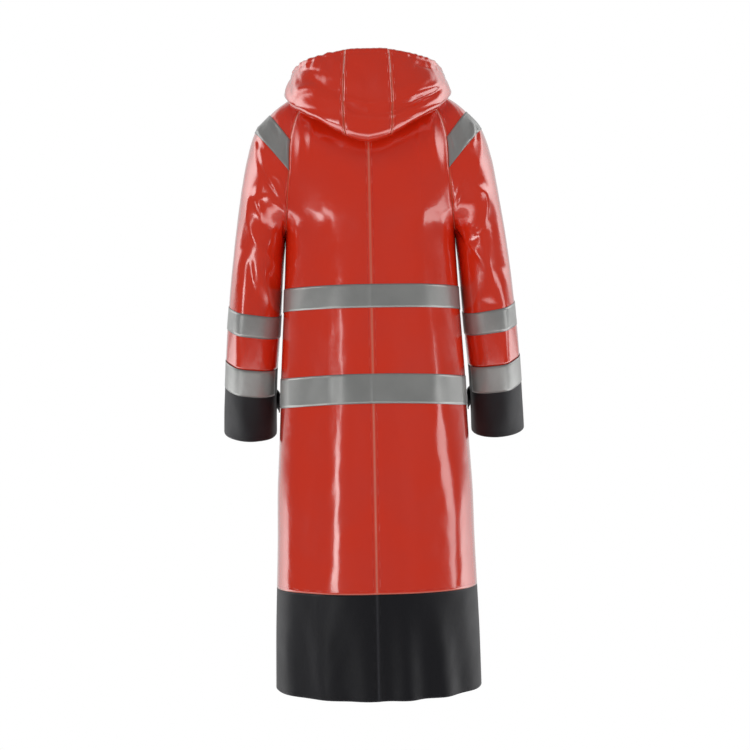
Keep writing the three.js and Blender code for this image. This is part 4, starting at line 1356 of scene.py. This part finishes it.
@dataclass
class Neck:
    """The neck band and the hood that is sewn to it, thrown back like a pouch."""

    form: CoatForm
    shop: Workshop
    band_height: float = 26.0
    seat_height: float = 9.0
    seat_gap: float = 3.2
    seat_lift: float = 115.0
    inner_cells: int = 34
    outer_cells: int = 62
    course: Course = Course(HOOD_LENGTHS, 4.2)
    crease_line: tuple[tuple[float, ...], tuple[float, ...]] = ((-165, -98, 36), (66, 64, 84))
    crease_half: float = 12.0
    crease_height: float = 9.0
    crease_ends: tuple[float, float] = (-185, 62)
    crease_fades: tuple[float, float] = (40, 30)
    gather_height: float = 1.9
    gather_waves: tuple[float, float] = (19, 44)
    gather_reach: float = 34.0
    pucker_height: float = 0.5
    pucker_waves: tuple[float, float] = (9, 60)
    sag_height: float = 0.9
    sag_waves: tuple[float, float] = (80, 70)

    def build(self) -> None:
        """Makes the neck band and the hood's three panels."""
        self._band()
        self._hood()

    def _neckline(self) -> np.ndarray:
        """The left half of the neckline, from the centre of the back to the centre front."""
        back, sleeve, front = (grid.points[0] for grid in
                               (self.form.back, self.form.sleeve, self.form.front))
        return np.concatenate([back, sleeve[1:], front[1:]])

    def _band(self) -> None:
        """A band that stands on the neckline all round and opens at the centre front."""
        left = self._neckline()
        line = np.concatenate([(left * [-1, 1, 1])[:0:-1], left])
        rise = np.array([0, 0, 1]) * (SEAM_GAP + self.band_height * np.linspace(0, 1, 8))[:, None]
        band = Grid.of(line[None] + rise[:, None], -1).drawn_in(SEAM_GAP / 2, "first", "last")
        self.shop.sheet("cloth_neck_band", band, DOUBLE_CLOTH, RED, ("top", "bottom"),
                        ["neck_band"], "hung")

    def _seats(self, shares: np.ndarray) -> np.ndarray:
        """Points of the neckline at shares of its length."""
        line = self._neckline()
        length = np.concatenate([[0], np.cumsum(np.linalg.norm(np.diff(line, axis=0), axis=1))])
        return np.stack([np.interp(shares * length[-1], length, line[:, k]) for k in range(3)], -1)

    def _hood_grid(self) -> Grid:
        """Half the hood: rows from its seat down to the fold and up to the rim."""
        at = HOOD.at(self.course.places())
        seat = self._seats(at["neck"])
        fold, rim = three(at, "foldX", "foldY", "foldZ"), three(at, "rimX", "rimY", "rimZ")
        out = (fold - seat) * [1, 1, 0]
        out = unit(out)
        drop = seat[:, 2] - fold[:, 2]
        seat = seat + out * self.seat_gap + np.array([0, 0, self.seat_height])
        leave = out * 0.5 * np.linalg.norm(fold - seat, axis=1)[:, None]
        leave[:, 2] = self.seat_lift - 0.3 * drop
        belly = at["belly"][:, None]
        climb = -0.6 * belly * out
        climb[:, 2] = at["rise"]
        inner = hermite(seat, leave, fold, 0.5 * belly * out,
                        np.arange(self.inner_cells) / self.inner_cells)
        outer = hermite(fold, belly * out, rim, climb,
                        np.linspace(0, 1, self.outer_cells + 1))
        columns = np.concatenate([inner, outer], 1)
        grid = Grid.of(np.swapaxes(columns, 0, 1), -1)
        grid.normals[:, 0, 0] = 0
        grid.normals[:, 0] = unit(grid.normals[:, 0])
        return grid

    def _crease(self, signed: np.ndarray, from_fold: np.ndarray) -> np.ndarray:
        """The soft crease across the thrown-back hood, bulging above and hollow below."""
        away = (from_fold - np.interp(signed, *self.crease_line)) / self.crease_half
        (start, end), (rise, fall) = self.crease_ends, self.crease_fades
        shown = smooth((signed - start) / rise) * smooth((end - signed) / fall)
        return self.crease_height * away * np.exp(-away * away) * shown

    def _raised(self, grid: Grid, side: Side) -> Grid:
        """One half of the hood: the rim's gathers and channel, the folds and the seam's low line."""
        here = grid.on(side)
        u, v = here.arcs()
        from_rim = v[-1:] - v
        seam = self.course.index(HOOD_SEAM)
        from_seam = np.abs(u - u[:, seam:seam + 1])
        signed = side.value * u
        side_share = smooth((u - u[:, seam:seam + 1]) / 12)
        gathers = self.gather_height * ripple(signed, from_rim, 51, self.gather_waves, 9)
        puckers = self.pucker_height * ripple(signed, 0.2 * from_rim, 52, self.pucker_waves, 5)
        near_rim = np.exp(-from_rim / self.gather_reach)
        height = near_rim * (side_share * gathers + (1 - side_share) * puckers)
        height += self.sag_height * ripple(signed, v, 53, self.sag_waves) * smooth(from_seam / 14)
        height += self._crease(signed, v - v[self.inner_cells])
        height += groove(from_seam, 1.0, 0.7)
        fold_row = self.inner_cells
        outside = smooth((v - v[fold_row:fold_row + 1]) / 30) * smooth(from_rim / 18)
        x, z = here.points[..., 0], here.points[..., 2]
        height += outside * heights(HOOD_FOLDS, x, z)
        height += 0.9 * np.exp(-(((from_rim - 5) / 5.0) ** 2)) - 0.7 * np.exp(
            -(((from_rim - 13) / 2.5) ** 2))
        seat = smooth(v / 25)
        return here.raised(height * seat)

    def _hood(self) -> None:
        """The hood's smooth centre panel and its two gathered sides."""
        grid = self._hood_grid()
        seam = self.course.index(HOOD_SEAM)
        rows = (0, grid.points.shape[0] - 1)
        columns = grid.points.shape[1] - 1
        halves = {side: self._raised(grid, side) for side in Side}
        for side in Side:
            panel = halves[side].cut(rows, (seam, columns)).drawn_in(SEAM_GAP / 2, "first")
            self.shop.sheet(f"cloth_hood_side_{side.word}", panel, CLOTH, RED,
                            ("first", "bottom"), [f"hood_side_{side.word}"], "gathered")
        centre = halves[Side.RIGHT].cut(rows, (0, seam)).turned().beside(
            halves[Side.LEFT].cut(rows, (0, seam)))
        centre = centre.drawn_in(SEAM_GAP / 2, "first", "last")
        self.shop.sheet("cloth_hood_centre", centre, CLOTH, RED, ("first", "last", "bottom"),
                        ["hood_centre"], "gathered")


# Studio


@dataclass(frozen=True)
class SoftBox:
    """A soft light between two ends, such as a strip box on a stand, that faces the coat."""

    name: str
    top: tuple[float, float, float]
    bottom: tuple[float, float, float]
    width: float
    watts: float
    aim: tuple[float, float, float] = (0.0, 0.0, -0.6)
    gloss: bool = True

    def build(self) -> None:
        """Adds the light."""
        top, bottom = Vector(self.top), Vector(self.bottom)
        centre = (top + bottom) / 2
        data = bpy.data.lights.new(self.name, "AREA")
        data.shape = "RECTANGLE"
        data.size, data.size_y = self.width, (top - bottom).length
        data.energy = self.watts
        along = (top - bottom).normalized()
        back = centre - Vector(self.aim)
        back = (back - back.dot(along) * along).normalized()
        across = along.cross(back)
        basis = Matrix((across, along, back)).transposed().to_4x4()
        lamp = bpy.data.objects.new(self.name, data)
        lamp.matrix_world = Matrix.Translation(centre) @ basis
        lamp.visible_glossy = self.gloss
        bpy.context.collection.objects.link(lamp)


@dataclass
class Studio:
    """The pale floor, the soft light and the camera level with the coat's middle, behind it.

    The camera sees a white surround, and the cloth's colour is lit by it evenly, at the ambient
    strength. The cloth's gloss mirrors another room: dim behind the camera, bright beyond the
    coat, with pale side walls (wings) above a level and a pale floor (under) below one.
    """

    distance: float = 3.5
    height: float = -0.575
    across: float = -0.0043
    lens: float = 77.42
    roll: float = 1.1
    floor_height: float = -1.6
    floor_radius: float = 0.9
    ambient: float = 0.45
    dim: float = 0.1
    bright: float = 0.7
    rear_from: tuple[float, float] = (-0.35, -0.9)
    wing_strength: float = 2.8
    wings_from: tuple[float, float] = (0.15, 0.0)
    wings_lean: float = 0.5
    wings_high: tuple[float, float] = (0.74, 0.52)
    under_strength: float = 2.6
    under_from: tuple[float, float] = (0.85, 0.55)
    sides_to: tuple[float, float] = (-0.9, -0.25)
    under_level: float = 0.6
    level_half: float = 0.95
    level_edge: float = 0.05
    under_span: tuple[float, float] = (0.3, 0.7)
    boxes: tuple[SoftBox, ...] = (
        SoftBox("left_strip", (1.76, 2.13, -0.58), (1.84, 2.06, -1.35), 0.62, 7),
        SoftBox("upper_strip", (1.36, 2.4, -0.05), (1.52, 2.32, -0.5), 0.2, 1.2),
        SoftBox("right_strip", (-2.15, 1.35, -0.52), (-2.75, 0.37, -1.25), 0.7, 7),
        SoftBox("top_fill", (0.5, 1.7, 2.9), (0.7, 2.7, 2.1), 2.2, 12, gloss=False),
        SoftBox("left_fill", (1.3, 3.1, 0.4), (1.3, 3.1, -1.2), 1.2, 4, gloss=False),
        SoftBox("right_fill", (-1.3, 3.1, 0.4), (-1.3, 3.1, -1.2), 1.2, 4, gloss=False),
    )

    def build(self) -> None:
        """Sets up the floor, the light and the camera."""
        self._floor()
        self._surroundings()
        for box in self.boxes:
            box.build()
        self._camera()

    def _floor(self) -> None:
        """A plain pale disc under the coat."""
        mesh = bmesh.new()
        bmesh.ops.create_circle(mesh, cap_ends=True, segments=96, radius=self.floor_radius)
        bmesh.ops.translate(mesh, vec=(0, 0, self.floor_height), verts=mesh.verts)
        data = bpy.data.meshes.new("floor")
        mesh.to_mesh(data)
        mesh.free()
        floor = bpy.data.objects.new("floor", data)
        bpy.context.collection.objects.link(floor)
        shader = Shader("pale_floor")
        place = shader.node("TexCoord", output="Object")
        speck = shader.node("TexNoise", {}, {"Vector": place, "Scale": 60.0})
        shader.set(Base_Color=linear(236, 236, 234), Roughness=0.75 + 0.1 * speck)
        data.materials.append(shader.material)

    def _surroundings(self) -> None:
        """The white surround, and the room that the cloth's gloss mirrors in its place."""
        world = bpy.data.worlds.new("studio")
        bpy.context.scene.world = world
        world.use_nodes = True
        works = Nodes(world.node_tree)
        place = works.node("TexCoord", output="Generated")
        behind = works.node("SeparateXYZ", {}, {"Vector": place}, "Y")
        height = works.node("SeparateXYZ", {}, {"Vector": place}, "Z")
        rear = self.dim + (self.bright - self.dim) * behind.between(*self.rear_from)
        start = behind - self.wings_lean * height
        share = 0.5 + 0.5 * behind
        level = self.level_half * share * share
        above = (height - level).between(0.0, self.level_edge)
        lowered = self.under_level * share.between(*self.under_span)
        below = (height + lowered).between(0.0, -self.level_edge)
        wings = start.between(*self.wings_from) * above * height.between(*self.wings_high)
        under = behind.between(*self.under_from) * below
        sides = self.wing_strength * wings + self.under_strength * under
        mirrored = rear + sides * behind.between(*self.sides_to)
        gloss = works.node("LightPath", output="Is Glossy Ray")
        light = self.ambient + gloss * (mirrored - self.ambient)
        seen = works.node("LightPath", output="Is Camera Ray")
        background = world.node_tree.nodes["Background"]
        works.feed(background.inputs["Strength"], light + seen * (1.0 - light))
        background.inputs["Color"].default_value = (1, 1, 1, 1)
        bpy.context.scene.view_settings.view_transform = "Standard"

    def _camera(self) -> None:
        """A level camera with the slight roll that the picture has."""
        data = bpy.data.cameras.new("camera")
        data.sensor_width = 36
        data.lens = self.lens
        camera = bpy.data.objects.new("camera", data)
        roll = math.radians(self.roll)
        c, s = math.cos(roll), math.sin(roll)
        basis = Matrix(((-c, -s, 0), (0, 0, 1), (-s, c, 0))).to_4x4()
        camera.matrix_world = Matrix.Translation((self.across, self.distance, self.height)) @ basis
        bpy.context.collection.objects.link(camera)
        bpy.context.scene.camera = camera


def main() -> None:
    """Builds the coat's sub-assemblies in order, then the studio."""
    logging.basicConfig(level=logging.INFO, format="%(name)s: %(message)s")
    shop = Workshop()
    form = CoatForm()
    body = Body(form, shop)
    sleeves = Sleeves(form, shop)
    assemblies = (body, sleeves, Tapes(form, body, sleeves, shop), Closing(form, body, shop),
                  Neck(form, shop), Studio())
    for assembly in assemblies:
        assembly.build()
        LOG.info("built %s", type(assembly).__name__)


if __name__ == "__main__":
    main()
